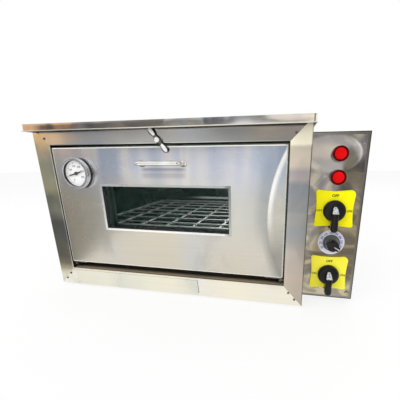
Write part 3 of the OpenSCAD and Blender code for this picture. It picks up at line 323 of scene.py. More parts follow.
# Painted shade: the sill's inner fold under the door is a brown, near matt tone with dark lines at its front and back.
fold_shade_steel = sheet_steel(
    "fold_shade_steel", (0.8, 0.7, 0.54), (0.74, 0.66, 0.52), (0.66, 0.6, 0.5), (0.4, 0.36, 0.3), 0.55, wave=0.1, metal=0.1
)
fold_depth = 0.022
tone_along(fold_shade_steel, "Y", frame_front, frame_front + fold_depth, [
    (0.0, (0.22, 0.19, 0.16)), (0.12, (0.3, 0.26, 0.22)), (0.35, (0.66, 0.6, 0.52)), (0.6, (0.42, 0.37, 0.32)),
    (0.8, (0.1, 0.09, 0.08)),
])
# Painted shade: a near black sheet for the walls of the gaps round the door, the door's sides, the patch's cut end and
# the latch's flanks.
gap_shade_steel = sheet_steel(
    "gap_shade_steel", (0.11, 0.1, 0.095), (0.1, 0.09, 0.085), (0.085, 0.085, 0.085), (0.05, 0.05, 0.05), 0.5, wave=0.1
)
stile_reach = 0.3
left_steel = sheet_steel(
    "left_steel", (0.82, 0.79, 0.66), (0.74, 0.74, 0.67), (0.64, 0.67, 0.64), (0.3, 0.3, 0.28), 0.12,
    "z", 0.2, 9, (20, 20, 16), 0.06,
)
# Painted reflections: bands of light and dark tone up the left stile.
tone_along(left_steel, "Z", 0.0, stile_reach, [
    (0.14, (1, 0.97, 0.88)), (0.22, (0.55, 0.53, 0.53)), (0.4, (0.42, 0.42, 0.43)), (0.47, (0.42, 0.42, 0.43)),
    (0.55, (0.88, 0.86, 0.78)), (0.64, (0.66, 0.64, 0.6)), (0.7, (0.88, 0.86, 0.8)), (0.85, (0.74, 0.74, 0.71)),
    (0.95, (1, 0.97, 0.92)),
])
right_steel = sheet_steel(
    "right_steel", (0.98, 0.92, 0.86), (0.93, 0.9, 0.86), (0.88, 0.88, 0.89), (0.6, 0.57, 0.53), 0.14,
    "z", 0.2, 6, (3, 3, 24), 0.1,
)
# Painted reflections: bands of light and dark tone up the right stile, pale near its top.
tone_along(right_steel, "Z", 0.0, stile_reach, [
    (0.1, (0.66, 0.59, 0.5)), (0.36, (0.64, 0.58, 0.52)), (0.42, (0.44, 0.46, 0.46)), (0.58, (0.42, 0.44, 0.44)),
    (0.6, (0.36, 0.4, 0.42)), (0.74, (0.36, 0.39, 0.41)), (0.77, (0.56, 0.51, 0.5)), (0.81, (0.56, 0.51, 0.5)),
    (0.84, (0.84, 0.77, 0.66)), (0.93, (0.84, 0.79, 0.68)), (0.95, (1, 0.99, 0.82)),
])
# Painted shade: the right stile darkens at its outer edge beside the control box.
tone_along(right_steel, "X", mouth_right, frame_right, [
    (0.06, 1), (0.2, 0.95), (0.5, (0.88, 0.88, 0.89)), (0.94, (0.84, 0.84, 0.85)), (0.98, 0.3),
])
right_tree, right_shader = graph_of(right_steel)
# Painted highlight: near the top the stile turns less metallic, so its pale tone shows.
corner_span = 0.281, 0.285
sheen = level(right_tree, drawn_axis(right_tree, "Z"), 1.0, 0.15, *corner_span)
right_tree.links.new(sheen, right_shader.inputs["Metallic"])

mitre_gap, roll, gauge = 0.0003, 0.0016, 0.0012
rail_runs = (frame_left, frame_right), (mouth_left, mouth_right)
stile_runs = (frame_base + mitre_gap, frame_top - mitre_gap), (mouth_base + mitre_gap, mouth_top - mitre_gap)
for name, upright, outer, inner, runs, finish, fold_shade_finish, turned_in in (
    ("top_rail", False, frame_top, mouth_top, rail_runs, rail_steel, gap_shade_steel, 3),
    ("bottom_rail", False, frame_base, mouth_base, rail_runs, sill_steel, fold_shade_steel, 1),
    ("left_stile", True, frame_left, mouth_left, stile_runs, left_steel, gap_shade_steel, 3),
    ("right_stile", True, frame_right, mouth_right, stile_runs, right_steel, gap_shade_steel, 3),
):
    low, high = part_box("frame_" + name)
    outer_ends, inner_ends = runs
    width = abs(inner - outer)
    across = [(0.0, high.y), (0.0, low.y + roll)]
    across += [(roll - roll * math.cos(a), low.y + roll - roll * math.sin(a)) for a in (0.4, 0.8, 1.2, 1.571)]
    across += [(width - off, y) for off, y in reversed(across)]
    points = []
    for off, y in across:
        side = outer + (inner - outer) * off / width
        for end in (0, 1):
            run = outer_ends[end] + (inner_ends[end] - outer_ends[end]) * off / width
            points.append((side, y, run) if upright else (run, y, side))
    faces = [(2 * i, 2 * i + 1, 2 * i + 3, 2 * i + 2) for i in range(len(across) - 1)]
    bar = new_piece(name, points, faces, "oven", "polished_steel", finish, "frame_" + name)
    bar.data.materials.append(fold_shade_finish)
    # The turned-in walls of each bar take the painted shade finish.
    for turned in bar.data.polygons[len(faces) - turned_in : len(faces)]:
        turned.material_index = 1
    sheet = bar.modifiers.new("sheet_gauge", "SOLIDIFY")
    sheet.thickness = gauge
    sheet.offset = -1.0
    hold_flat(bar)

# Patch: a thin strip of the same sheet with snipped corners, laid flat on the left part of the bottom rail.
# Its cut right end is dark with painted shade.
def soften(piece, width, rows=2):
    """Rolls a piece's sharp edges."""
    edge = piece.modifiers.new("soft_edge", "BEVEL")
    edge.width = width
    edge.segments = rows
    edge.limit_method = "ANGLE"
    edge.angle_limit = math.radians(50)
    edge.use_clamp_overlap = False
    hold_flat(piece)


def stacked(sections):
    """Points and faces of a skin over closed sections of equal count."""
    n = len(sections[0])
    faces = [
        (k * n + i, k * n + (i + 1) % n, k * n + n + (i + 1) % n, k * n + n + i)
        for k in range(len(sections) - 1)
        for i in range(n)
    ]
    faces += [tuple(range(n)), tuple(range(n * len(sections) - n, n * len(sections)))]
    return [p for section in sections for p in section], faces


strip_left, strip_right = frame_left + 0.039, frame_left + 0.314
strip_base, strip_top = frame_base + 0.002, mouth_base - 0.004
strip_outline = (
    (strip_left, strip_base),
    (strip_right - 0.003, strip_base),
    (strip_right, strip_base + 0.004),
    (strip_right - 0.002, strip_top),
    (strip_left + 0.002, strip_top),
)
strip_steel = sheet_steel(
    "strip_steel", (0.9, 0.87, 0.72), (0.84, 0.82, 0.7), (0.76, 0.78, 0.7), (0.6, 0.58, 0.5), 0.2, wave=0.3, ripple=14
)
strip_sections = [[(x, y, z) for x, z in strip_outline] for y in (frame_front, frame_front - gauge)]
strip = new_piece("rail_patch", *stacked(strip_sections), "oven", "polished_steel", strip_steel)
# Painted shade on the cut right end.
strip.data.materials.append(gap_shade_steel)
for cut_end in (1, 2):
    strip.data.polygons[cut_end].material_index = 1
soften(strip, 0.0002)

# Top cover: a flat stainless sheet laid over the body, its edge turned down to a short lip and hemmed along the bottom.
# The lip carries painted reflections, bands of warm and dark tone; the flat top is plainer.
def dress(finish, *names, fold=0.0):
    """Gives CAD pieces a finish and, where they are bent or cut sheet, a soft edge."""
    for name in names:
        piece = nodes[name]
        piece.data.materials.clear()
        piece.data.materials.append(finish)
        if fold:
            joint = piece.modifiers.new("joined_faces", "WELD")
            joint.merge_threshold = 0.00001
            soften(piece, fold)


def four_corners(low_x, high_x, low_side, high_side):
    return [(low_x, low_side), (high_x, low_side), (high_x, high_side), (low_x, high_side)]


def ring(loops):
    """Points and faces of a ring whose section runs from loop to loop and back to the first."""
    n = len(loops[0])
    faces = []
    for k in range(len(loops)):
        a, b = n * k, n * ((k + 1) % len(loops))
        faces += [(a + i, a + (i + 1) % n, b + (i + 1) % n, b + i) for i in range(n)]
    return [p for loop in loops for p in loop], faces


cover_low, cover_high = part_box("top_cover")
cover_steel = sheet_steel(
    "cover_steel", (0.97, 0.9, 0.8), (0.87, 0.84, 0.79), (0.74, 0.73, 0.76), (0.36, 0.34, 0.32), 0.1,
    "x", 0.5, 14, (14, 14, 30), 0.12, 1.2,
)
cover_tree = cover_steel.node_tree
cover_height = drawn_axis(cover_tree, "Z")
lip_end, top_start = cover_high.z - 0.004, cover_high.z - 0.001
lip_share = level(cover_tree, cover_height, 1.0, 0.0, lip_end, top_start)
# Painted reflections along the lip.
tone_along(cover_steel, "X", cover_low.x, cover_high.x, [
    (0.045, (1, 0.93, 0.84)), (0.085, (0.36, 0.35, 0.35)), (0.31, (0.46, 0.45, 0.45)), (0.38, (0.6, 0.53, 0.53)),
    (0.48, (0.62, 0.61, 0.6)), (0.6, (0.5, 0.5, 0.49)), (0.78, (1, 0.97, 0.9)),
], lip_share)
top_share = level(cover_tree, cover_height, 0.0, 0.7, lip_end, top_start)
lay_tone(cover_steel, "MIX", top_share, (0.7, 0.69, 0.67))
dress(cover_steel, "top_cover", fold=0.0004)
hem_out, hem_up, hem_steps = 0.0007, 0.0008, 8
hem_loops = []
for n in range(hem_steps):
    out = hem_out * math.cos(math.tau * n / hem_steps)
    up = hem_up + hem_up * math.sin(math.tau * n / hem_steps)
    corners = four_corners(cover_low.x - out, cover_high.x + out, cover_low.y - out, cover_high.y + out)
    hem_loops.append([(x, y, cover_low.z + up) for x, y in corners])
new_piece("cover_hem", *ring(hem_loops), "oven", "polished_steel", sill_steel)

# Body: two side panels, a back and a base pan of plain stainless sheet, cut, folded and closed round the chamber.
# They are duller than the front and show an upright grain.
body_tones = (0.66, 0.64, 0.6), (0.62, 0.62, 0.61), (0.58, 0.6, 0.62), (0.42, 0.41, 0.4)
body_steel = sheet_steel("body_steel", *body_tones, grain="z")
dress(body_steel, "left_side_panel", "right_side_panel", "back_panel", "base_pan")

# Rivets and screws: small plated steel fasteners at the frame's corners, in the back panel and in the handle's feet.
# Heat and handling have dulled and darkened them.
def plain_finish(name, scale, dark, light, rough, detail=3.0, metal=0.0, shine=0.5, spread=(0.3, 0.7), twist=0.0):
    """Two near tones in soft clouds. Three numbers for rough are its low, its high and the scale of its patches."""
    finish = new_finish(name)
    tree, shader = graph_of(finish)
    tones = tint_ramp(tree, clouds(tree, scale, detail, twist), list(zip(spread, (dark, light))))
    tree.links.new(tones, shader.inputs["Base Color"])
    if isinstance(rough, tuple):
        low_rough, high_rough, patches = rough
        tree.links.new(level(tree, clouds(tree, patches), low_rough, high_rough), shader.inputs["Roughness"])
    else:
        shader.inputs["Roughness"].default_value = rough
    shader.inputs["Metallic"].default_value = metal
    shader.inputs["Specular IOR Level"].default_value = shine
    return finish


fastener_steel = plain_finish(
    "fastener_steel", 300.0, (0.10, 0.09, 0.08), (0.28, 0.27, 0.26), (0.3, 0.55, 500.0), 2.0, metal=1.0
)
dress(fastener_steel, "frame_rivets", "back_screws", "handle_screws", fold=0.0002)

# Feet: four low black rubber pads, moulded with a fine matt skin.
# Each is studded through the base pan.
foot_rubber = plain_finish("foot_rubber", 120.0, (0.015, 0.015, 0.016), (0.04, 0.04, 0.042), 0.75, 4.0)
relief(foot_rubber, (clouds(foot_rubber.node_tree, 1800.0, 2.0), 0.3, 0.0002))
dress(foot_rubber, "rubber_feet")

# Chamber: a box of plain sheet, spot welded and dulled by heat, with runners and element brackets of the same sheet.
# A painted reflection of the window, a pale band, crosses its back above the rack. The wool behind it is a loose pale
# mineral mat.
chamber_tones = (0.3, 0.36, 0.32), (0.24, 0.3, 0.27), (0.19, 0.25, 0.23), (0.1, 0.12, 0.11)
chamber_rough = 0.22
chamber_steel = sheet_steel("chamber_steel", *chamber_tones, chamber_rough)
dress(chamber_steel, "rack_runners", "element_brackets")
liner_steel = sheet_steel("liner_steel", *chamber_tones, chamber_rough)
liner_tree, liner_shader = graph_of(liner_steel)
# Painted reflection of the window: a pale, less metallic band on the back wall above the rack.
band_span, back_span, right_span = (0.125, 0.155), (0.16, 0.17), (-0.17, -0.1)
band_height = level(liner_tree, drawn_axis(liner_tree, "Z"), 0.0, 1.0, *band_span)
window_reflection_band = tint_ramp(liner_tree, band_height, [(0.32, 0), (0.42, 1), (0.56, 1), (0.66, 0)])
for axis, span in (("Y", back_span), ("X", right_span)):
    band_share = level(liner_tree, drawn_axis(liner_tree, axis), 0.0, 1.0, *span)
    window_reflection_band = laid_over(liner_tree, "MULTIPLY", 1.0, window_reflection_band, band_share)
lay_tone(liner_steel, "MIX", window_reflection_band, (0.92, 0.96, 0.94))
liner_tree.links.new(level(liner_tree, window_reflection_band, 1.0, 0.0), liner_shader.inputs["Metallic"])
dress(liner_steel, "chamber_liner")
wool_mat = plain_finish("wool_mat", 40.0, (0.55, 0.48, 0.30), (0.80, 0.76, 0.60), 0.95, 6.0, twist=2.0)
relief(wool_mat, (clouds(wool_mat.node_tree, 90.0, 6.0, 3.0), 0.8, 0.003))
dress(wool_mat, "chamber_wool")

# Rack and heating elements: a rack of bright wire welded across longer rods, lying on the runners, and two tubes
# folded to and fro on brackets, whose sheaths have gone patchy with heat.
rack_wire = plain_finish("rack_wire", 60.0, (0.7, 0.72, 0.69), (0.93, 0.95, 0.92), (0.15, 0.35, 90.0), metal=0.3)
dress(rack_wire, "wire_rack")
element_sheath = plain_finish(
    "element_sheath", 45.0, (0.6, 0.62, 0.58), (0.9, 0.92, 0.88), (0.25, 0.5, 70.0), 4.0, metal=1.0
)
dress(element_sheath, "upper_element", "lower_element")

# Door: a pan of polished sheet with folded edges, slightly bowed, filled with wool and closed by a liner sheet.
# It hangs on the hinge along its lower edge. Its finish carries painted reflections, among them where it bulges at the
# right, and a painted shadow under the handle. Its rolled edges carry painted highlight and its sides painted shade.
def gap_from(tree, spot, squash):
    """Distance from a spot, in the oven's own metres after a squash of each axis."""
    gap = tree.nodes.new("ShaderNodeVectorMath")
    gap.operation = "DISTANCE"
    gap.inputs[1].default_value = [s * q for s, q in zip(spot, squash)]
    tree.links.new(drawn_space(tree, squash), gap.inputs[0])
    return gap.outputs["Value"]


door_steel = sheet_steel(
    "door_steel", (0.76, 0.7, 0.58), (0.74, 0.7, 0.61), (0.7, 0.69, 0.65), (0.5, 0.48, 0.45), 0.22
)
door_tree = door_steel.node_tree
door_height = drawn_axis(door_tree, "Z")
upper_span, low_span, ridge_span, bulge_span = (0.19, 0.25), (0.1, 0.16), (0.14, 0.2), (0.1, 0.2)
# Painted reflections: bluish and peach bands over the door's upper part.
upper_reflection_bands = tint_ramp(
    door_tree,
    clouds(door_tree, 1.0, 1.0, 0.3, (21, 21, 1.5)),
    [(0.36, (0.52, 0.6, 0.76)), (0.46, (0.7, 0.73, 0.85)), (0.54, (0.86, 0.86, 0.88)), (0.62, (0.84, 0.7, 0.64))],
)
lay_tone(door_steel, "MIX", level(door_tree, door_height, 0.0, 0.85, *upper_span), upper_reflection_bands)
# Painted reflection of the bulge at the door's right: a bright arc with a darker band inside it and a bright ridge
# line.
bulge_middle, bulge_squash = (0.2915, -0.212, 0.1653), (1.0, 1.0, 0.75)
bulge = level(door_tree, gap_from(door_tree, bulge_middle, bulge_squash), 0.0, 1.0, *bulge_span)
bulge_highlight = tint_ramp(door_tree, bulge, [
    (0.34, (0.84, 0.85, 0.85)), (0.41, (1, 1, 0.98)), (0.44, (1, 1, 0.98)), (0.47, (0.62, 0.66, 0.69)),
    (0.58, (0.66, 0.7, 0.73)), (0.72, (0.86, 0.88, 0.89)), (0.95, 0.94),
])
bulge_shade = tint_ramp(door_tree, bulge, [(0.3, (0.52, 0.54, 0.56)), (0.44, (0.48, 0.5, 0.52)), (0.6, 0.92)])
low_share = level(door_tree, door_height, 1.0, 0.0, *low_span)
lay_tone(door_steel, "MULTIPLY", 1.0, laid_over(door_tree, "MIX", low_share, bulge_highlight, bulge_shade))
ridge_highlight = tint_ramp(door_tree, bulge, [(0.37, 0), (0.42, 1), (0.445, 1), (0.465, 0)])
ridge_highlight_share = laid_over(door_tree, "MULTIPLY", 1.0, ridge_highlight, level(door_tree, door_height, 0.0, 1.0, *ridge_span))
lay_tone(door_steel, "MIX", ridge_highlight_share, (1, 1, 0.98))
# Painted shadow and reflection of the handle on the door below it.
grip_low, grip_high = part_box("door_handle")
shade_drop = 0.024
shade_span = level(door_tree, drawn_axis(door_tree, "X"), 0.0, 1.0, grip_low.x, grip_high.x)
shade_width = tint_ramp(door_tree, shade_span, [(0.0, 0), (0.1, 1), (0.9, 1), (1.0, 0)])
shade_depth = tint_ramp(
    door_tree,
    level(door_tree, door_height, 0.0, 1.0, grip_low.z - shade_drop, grip_low.z),
    [(0.1, 0), (0.3, 0.45), (0.5, 0.55), (0.62, 0.2), (0.86, 1), (1.0, 0)],
)
grip_shade = laid_over(door_tree, "MULTIPLY", 1.0, shade_width, shade_depth)
lay_tone(door_steel, "MULTIPLY", grip_shade, (0.55, 0.54, 0.56))

door_low, door_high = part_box("door_skin")
window_low, window_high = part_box("window_bezel")
# Painted highlight on the door's rolled edges, dimmed with painted shade towards its right edge.
edge_highlight_steel = sheet_steel(
    "edge_highlight_steel", (0.98, 0.95, 0.86), (0.95, 0.93, 0.87), (0.92, 0.92, 0.9), (0.8, 0.79, 0.76), 0.2, metal=0.2
)
tone_along(edge_highlight_steel, "X", door_high.x - 0.01, door_high.x, [(0.3, 1), (0.7, (0.66, 0.64, 0.6))])


def even_steps(start, end, count):
    return [start + (end - start) * i / count for i in range(count)]


lap, bow, window_fold = 0.0027, 0.0008, 0.0012
side_steps, window_steps, band_steps = 9, 14, 6
hole_left, hole_right = window_low.x + lap, window_high.x - lap
hole_base, hole_top = window_low.z + lap, window_high.z - lap
door_xs = even_steps(door_low.x, hole_left, side_steps) + even_steps(hole_left, hole_right, window_steps)
door_xs += even_steps(hole_right, door_high.x, side_steps) + [door_high.x]
door_zs = even_steps(door_low.z, hole_base, band_steps) + even_steps(hole_base, hole_top, band_steps)
door_zs += even_steps(hole_top, door_high.z, band_steps) + [door_high.z]
columns, rows = len(door_xs), len(door_zs)
first_column, last_column = side_steps, side_steps + window_steps
first_row, last_row = band_steps, 2 * band_steps
pan_points = []
for z in door_zs:
    for x in door_xs:
        u = 2 * (x - door_low.x) / (door_high.x - door_low.x) - 1
        v = 2 * (z - door_low.z) / (door_high.z - door_low.z) - 1
        pan_points.append((x, door_low.y - bow * (1 - u * u) * (1 - v * v), z))
pan_faces = []
for k in range(rows - 1):
    for i in range(columns - 1):
        if not (first_column <= i < last_column and first_row <= k < last_row):
            a = k * columns + i
            pan_faces.append((a, a + 1, a + columns + 1, a + columns))


def round_grid(left, right, base, top):
    """The pan's points round a rectangle of its grid, anticlockwise."""
    edge = [base * columns + i for i in range(left, right + 1)]
    edge += [k * columns + right for k in range(base + 1, top + 1)]
    edge += [top * columns + i for i in range(right - 1, left - 1, -1)]
    return edge + [k * columns + left for k in range(top - 1, base, -1)]


for edge, depth in (
    (round_grid(0, columns - 1, 0, rows - 1), door_high.y),
    (round_grid(first_column, last_column, first_row, last_row), door_low.y + window_fold),
):
    start = len(pan_points)
    pan_points += [(pan_points[i][0], depth, pan_points[i][2]) for i in edge]
    for n in range(len(edge)):
        m = (n + 1) % len(edge)
        pan_faces.append((edge[n], edge[m], start + m, start + n))
door_pan = new_piece("door_pan", pan_points, pan_faces, "door", "polished_steel", door_steel, "door_skin")
# Painted shade: the door's side walls take the near black sheet, and its soft edges take the painted highlight.
door_pan.data.materials.append(gap_shade_steel)
for face in door_pan.data.polygons:
    if abs(face.normal.y) < 0.5 and face.center.y > door_low.y + 0.002:
        face.material_index = 1
door_pan.data.materials.append(edge_highlight_steel)
soften(door_pan, 0.0022, 3)
door_pan.modifiers["soft_edge"].material = 2
dress(body_steel, "door_liner")
dress(wool_mat, "door_wool")

# Window: a thin folded bezel round two panes of greenish glass, held in a sleeve of sheet that crosses the door's wool.
# A black rubber seal lines the bezel's inner edge; its black also stands in for the shade there, as painted shade.
def pane_glass(name, tint, cover):
    """Clear sheet that dims what is behind it by its cover, with faint smears."""
    finish = new_finish(name)
    tree, shader = graph_of(finish)
    smear = clouds(tree, 9.0, 4.0, 1.2)
    tones = tint_ramp(tree, smear, [(0.3, tuple(0.7 * c for c in tint)), (0.7, tint)])
    tree.links.new(tones, shader.inputs["Base Color"])
    tree.links.new(level(tree, smear, 0.02, 0.1, 0.45, 0.8), shader.inputs["Roughness"])
    shader.inputs["Alpha"].default_value = cover
    shader.inputs["Specular IOR Level"].default_value = 0.4
    return finish


def upright_ring(low, high, section):
    """A ring round the front of a box, from its section's places: (inset at the left, inset elsewhere, y)."""
    loops = []
    for left, rest, y in section:
        corners = four_corners(low.x + left, high.x - rest, low.z + rest, high.z - rest)
        loops.append([(x, y, z) for x, z in corners])
    return ring(loops)


bezel_steel = sheet_steel(
    "bezel_steel", (0.95, 0.94, 0.88), (0.92, 0.92, 0.9), (0.86, 0.88, 0.9), (0.6, 0.6, 0.58), 0.2, metal=0.3
)
# Painted highlight along the bezel's bottom, and painted shade towards its top and its right side.
tone_along(bezel_steel, "Z", window_low.z, window_high.z, [(0.1, (1, 1, 0.98)), (0.9, (0.5, 0.52, 0.53))])
tone_along(bezel_steel, "X", window_high.x - 0.02, window_high.x, [(0.3, 1), (0.7, (0.5, 0.52, 0.5))])
dress(bezel_steel, "window_bezel", fold=0.0003)
# The seal's black is also painted shade at the bezel's inner edge.
seal_in, seal_gauge = 0.004, 0.0006
seal_front, seal_back = door_low.y - 0.0004, door_low.y + 0.0076
seal_inner = seal_in + seal_gauge
seal_section = [(seal_in, seal_in, seal_front), (seal_inner, seal_inner, seal_front)]
seal_section += [(seal_inner, seal_inner, seal_back), (seal_in, seal_in, seal_back)]
seal_points, seal_faces = upright_ring(window_low, window_high, seal_section)
new_piece("window_seal", seal_points, seal_faces, "door", "black_rubber", foot_rubber)
sleeve_steel = sheet_steel(
    "sleeve_steel", (0.46, 0.58, 0.52), (0.4, 0.52, 0.46), (0.36, 0.47, 0.42), (0.4, 0.5, 0.45), 0.45
)
dress(sleeve_steel, "window_sleeve")
dress(pane_glass("window_glass", (0.006, 0.042, 0.032), 0.1), "outer_glass", "inner_glass")

# Hinge: dark steel ears under the door's lower edge, turning on plain pins.
# The pins are held in plates inside the stiles.
hinge_steel = sheet_steel(
    "hinge_steel", (0.2, 0.19, 0.18), (0.18, 0.175, 0.17), (0.16, 0.16, 0.16), (0.08, 0.08, 0.075), 0.45
)
dress(hinge_steel, "door_hinge_ears", "hinge_pins", "hinge_plates")

# Handle: a short pull bent from bright steel bar, screwed to the door through its two feet.
# Its underside is darkened with painted shade.
handle_steel = plain_finish(
    "handle_steel", 60.0, (0.84, 0.83, 0.79), (0.97, 0.96, 0.93), (0.08, 0.2, 150.0), metal=1.0, spread=(0.35, 0.65)
)
# Painted shade on the handle's underside.
tone_along(handle_steel, "Z", grip_low.z, grip_high.z, [(0.12, (0.2, 0.2, 0.19)), (0.34, 1)])
dress(handle_steel, "door_handle", fold=0.0004)

# Turn latch: a cast and plated bar with two domed lobes and a narrow waist, turning on a screw in the top rail.
# It rests slanted, with its lower lobe over the door's edge. The flanks are darkened with painted shade, and the waist
# is dark.
latch_middle = (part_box("latch_pivot")[0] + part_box("latch_pivot")[1]) / 2
latch_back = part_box("turn_latch")[1].y
latch_slant = math.radians(38)
latch_plan = [(0.0, 6.0), (3.5, 5.4), (7.0, 3.6), (9.5, 3.4), (13.0, 4.5), (17.0, 5.5), (20.0, 5.5), (22.5, 4.5)]
latch_plan += [(24.0, 2.6), (24.5, 0.8)]
latch_plan = [(-run, half) for run, half in reversed(latch_plan[1:])] + latch_plan
latch_steps, latch_foot, latch_rim, latch_dome, waist_end = 13, 1.0, 1.2, 3.1, 9.5
latch_sections = []
for run, half in latch_plan:
    crown = latch_rim + latch_dome * min(1.0, half / 5.0) * (0.8 if abs(run) < 8 else 1.0)
    section = []
    for turn in range(latch_steps):
        swing = math.pi * turn / (latch_steps - 1)
        side = -half * math.cos(swing)
        out = latch_foot + (crown - latch_foot) * math.sin(swing) if 0 < turn < latch_steps - 1 else 0.0
        x = latch_middle.x + (-run * math.sin(latch_slant) + side * math.cos(latch_slant)) / 1000
        z = latch_middle.z + (run * math.cos(latch_slant) + side * math.sin(latch_slant)) / 1000
        section.append((x, latch_back - out / 1000, z))
    latch_sections.append(section)
latch_points, latch_faces = stacked(latch_sections)
latch_plating = plain_finish("latch_plating", 80.0, 0.86, 0.98, (0.06, 0.2, 150.0), metal=0.3)
dress(latch_plating, "latch_pivot", fold=0.0002)
latch = new_piece("latch_bar", latch_points, latch_faces, "latch", "chrome", latch_plating, "turn_latch")
latch.data.materials.append(gap_shade_steel)
latch.data.materials.append(fastener_steel)
# Painted shade: the flanks take the near black sheet. The waist takes the dark fastener steel.
for face in latch.data.polygons:
    face_run = latch_plan[min(face.index // latch_steps, len(latch_plan) - 2)][0]
    if face.index % latch_steps in (0, 1, 2, 3, 9, 10, 11, 12) or face.index >= len(latch_faces) - 2:
        face.material_index = 1
    elif -waist_end <= face_run < waist_end:
        face.material_index = 2

# Thermometer: a white printed dial, a black needle and a clear lens in a chromed case with a rolled bezel.
# It sits in the door on a black washer; its neck passes through the wool and is held inside by a brass nut.
fitting_chrome = plain_finish("fitting_chrome", 80.0, 0.66, (0.86, 0.86, 0.87), (0.06, 0.2, 150.0), metal=1.0)
dress(fitting_chrome, "thermometer_case", "thermometer_bezel", fold=0.0004)
dial_paint = plain_finish("dial_paint", 90.0, (0.93, 0.93, 0.92), (0.98, 0.98, 0.97), 0.45)
dress(dial_paint, "thermometer_dial")
needle_paint = plain_finish("needle_paint", 400.0, 0.008, 0.03, 0.4)
dress(needle_paint, "thermometer_needle")
dress(pane_glass("dial_glass", (0.8, 0.8, 0.8), 0.03), "thermometer_lens")


def printed_marks(name, middle, y, bars, words, body, ink):
    """Ink, from bars (angle, inner, outer, width) and words (text, angle, radius, height, lean) in millimetres."""
    layer = bmesh.new()
    for angle, inner, outer, width in bars:
        along = Vector((math.cos(angle), 0, math.sin(angle)))
        across = Vector((-math.sin(angle), 0, math.cos(angle))) * width / 2
        corners = [along * inner - across, along * outer - across, along * outer + across, along * inner + across]
        layer.faces.new([layer.verts.new((middle.x + c.x / 1000, y, middle.z + c.z / 1000)) for c in corners])
    for text, angle, radius, height, lean in words:
        letters = bpy.data.curves.new(name, "FONT")
        letters.body, letters.size, letters.resolution_u = text, height / 1000, 2
        letters.align_x, letters.align_y = "CENTER", "CENTER"
        letters.offset = 0.00003 * height
        holder = bpy.data.objects.new(name, letters)
        shape = bpy.data.meshes.new_from_object(holder)
        spot = (middle.x + radius * math.cos(angle) / 1000, y, middle.z + radius * math.sin(angle) / 1000)
        upright = Matrix.Rotation(-lean, 4, "Y") @ Matrix.Rotation(math.pi / 2, 4, "X")
        shape.transform(Matrix.Translation(spot) @ upright)
        layer.from_mesh(shape)
        bpy.data.meshes.remove(shape)
        bpy.data.objects.remove(holder)
        bpy.data.curves.remove(letters)
    marks = bpy.data.meshes.new(name)
    layer.to_mesh(marks)
    layer.free()
    marks.materials.append(ink)
    piece = bpy.data.objects.new(name, marks)
    scene.collection.objects.link(piece)
    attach(piece, body)


dial_low, dial_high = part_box("thermometer_dial")
dial_middle = (dial_low + dial_high) / 2
dial_r = (dial_high.x - dial_low.x) / 2
case_low, case_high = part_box("thermometer_case")
case_r = (case_high.x - case_low.x) / 2
well_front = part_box("thermometer_lens")[1].y + 0.0002
round_steps, ink_lift = 64, 0.0001


def round_ring(section):
    """A ring about the dial's axis, from the (radius, y) places of its section."""
    turns = [math.tau * n / round_steps for n in range(round_steps)]
    return ring(
        [
            [(dial_middle.x + r * math.cos(turn), y, dial_middle.z + r * math.sin(turn)) for turn in turns]
            for r, y in section
        ]
    )


# Painted shade: a black ring over the dial's edge, from the dial to the lens, stands for the shade in the recess round
# the dial.
well_section = (
    (dial_r - 0.0004, dial_low.y), (dial_r - 0.0002, well_front), (dial_r - 0.0016, well_front),
    (dial_r - 0.0022, dial_low.y),
)
new_piece("thermometer_well", *round_ring(well_section), "door", "black_paint", needle_paint)
washer_section = (
    (case_r + 0.0001, door_low.y), (case_r + 0.0008, door_low.y), (case_r + 0.0008, door_low.y - 0.0024),
    (case_r + 0.0001, door_low.y - 0.0028),
)
new_piece("thermometer_washer", *round_ring(washer_section), "door", "black_rubber", foot_rubber)
dial_ink = plain_finish("dial_ink", 400.0, (0.16, 0.16, 0.17), (0.24, 0.24, 0.25), 0.6)
dial_sweep = [math.radians(241 - 270 * n / 30) for n in range(31)]
printed_marks(
    "thermometer_marks",
    dial_middle,
    dial_low.y - ink_lift,
    [(a, 18.6 if n % 5 else 17.6, 20.6, 0.4 if n % 5 else 0.9) for n, a in enumerate(dial_sweep)],
    [(str(50 * n), dial_sweep[5 * n], 13.4, 4.8, 0.0) for n in range(7)],
    "door",
    dial_ink,
)
brass = plain_finish("brass", 120.0, (0.50, 0.36, 0.14), (0.72, 0.56, 0.28), 0.35, metal=1.0)
dress(brass, "thermometer_nut", fold=0.0002)

# Control box: a folded shell on the oven's right with a set-in front panel and a screwed back plate, all of polished
# sheet, the panel the most handled. The panel's finish carries painted reflections, and a dark ring of painted shade
# runs round the panel.
panel_steel = sheet_steel(
    "panel_steel", (0.72, 0.66, 0.54), (0.46, 0.43, 0.39), (0.34, 0.32, 0.34), (0.18, 0.17, 0.16), 0.12,
    "z", 0.8, 12, (14, 14, 20), 0.1, 2.5,
)
# Painted reflections: the panel's tone shifts with height, a pale oval lies by the upper lamp and a bright arc beside
# it.
panel_reflection_stops = [(0.0, (0.84, 0.8, 0.66)), (0.5, (0.78, 0.76, 0.72)), (0.75, (0.74, 0.73, 0.71))]
tone_along(panel_steel, "Z", 0.0, stile_reach, panel_reflection_stops)
lamp_low, lamp_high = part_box("upper_lamp_lens")
panel_tree = panel_steel.node_tree
oval_middle = (lamp_low.x - 0.002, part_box("control_panel")[0].y, (lamp_low.z + lamp_high.z) / 2)
oval = level(panel_tree, gap_from(panel_tree, oval_middle, (1.0, 1.0, 1.5)), 0.0, 1.0, 0.0, 0.06)
reflection_oval_share = tint_ramp(panel_tree, oval, [(0.4, 0.42), (0.7, 0.3), (0.82, 0)])
lay_tone(panel_steel, "MIX", reflection_oval_share, (0.92, 0.88, 0.82))
highlight_arc = tint_ramp(panel_tree, oval, [(0.7, 0), (0.77, 0.6), (0.81, 0)])
arc_side = level(panel_tree, drawn_axis(panel_tree, "X"), 0.0, 1.0, lamp_high.x, lamp_high.x + 0.014)
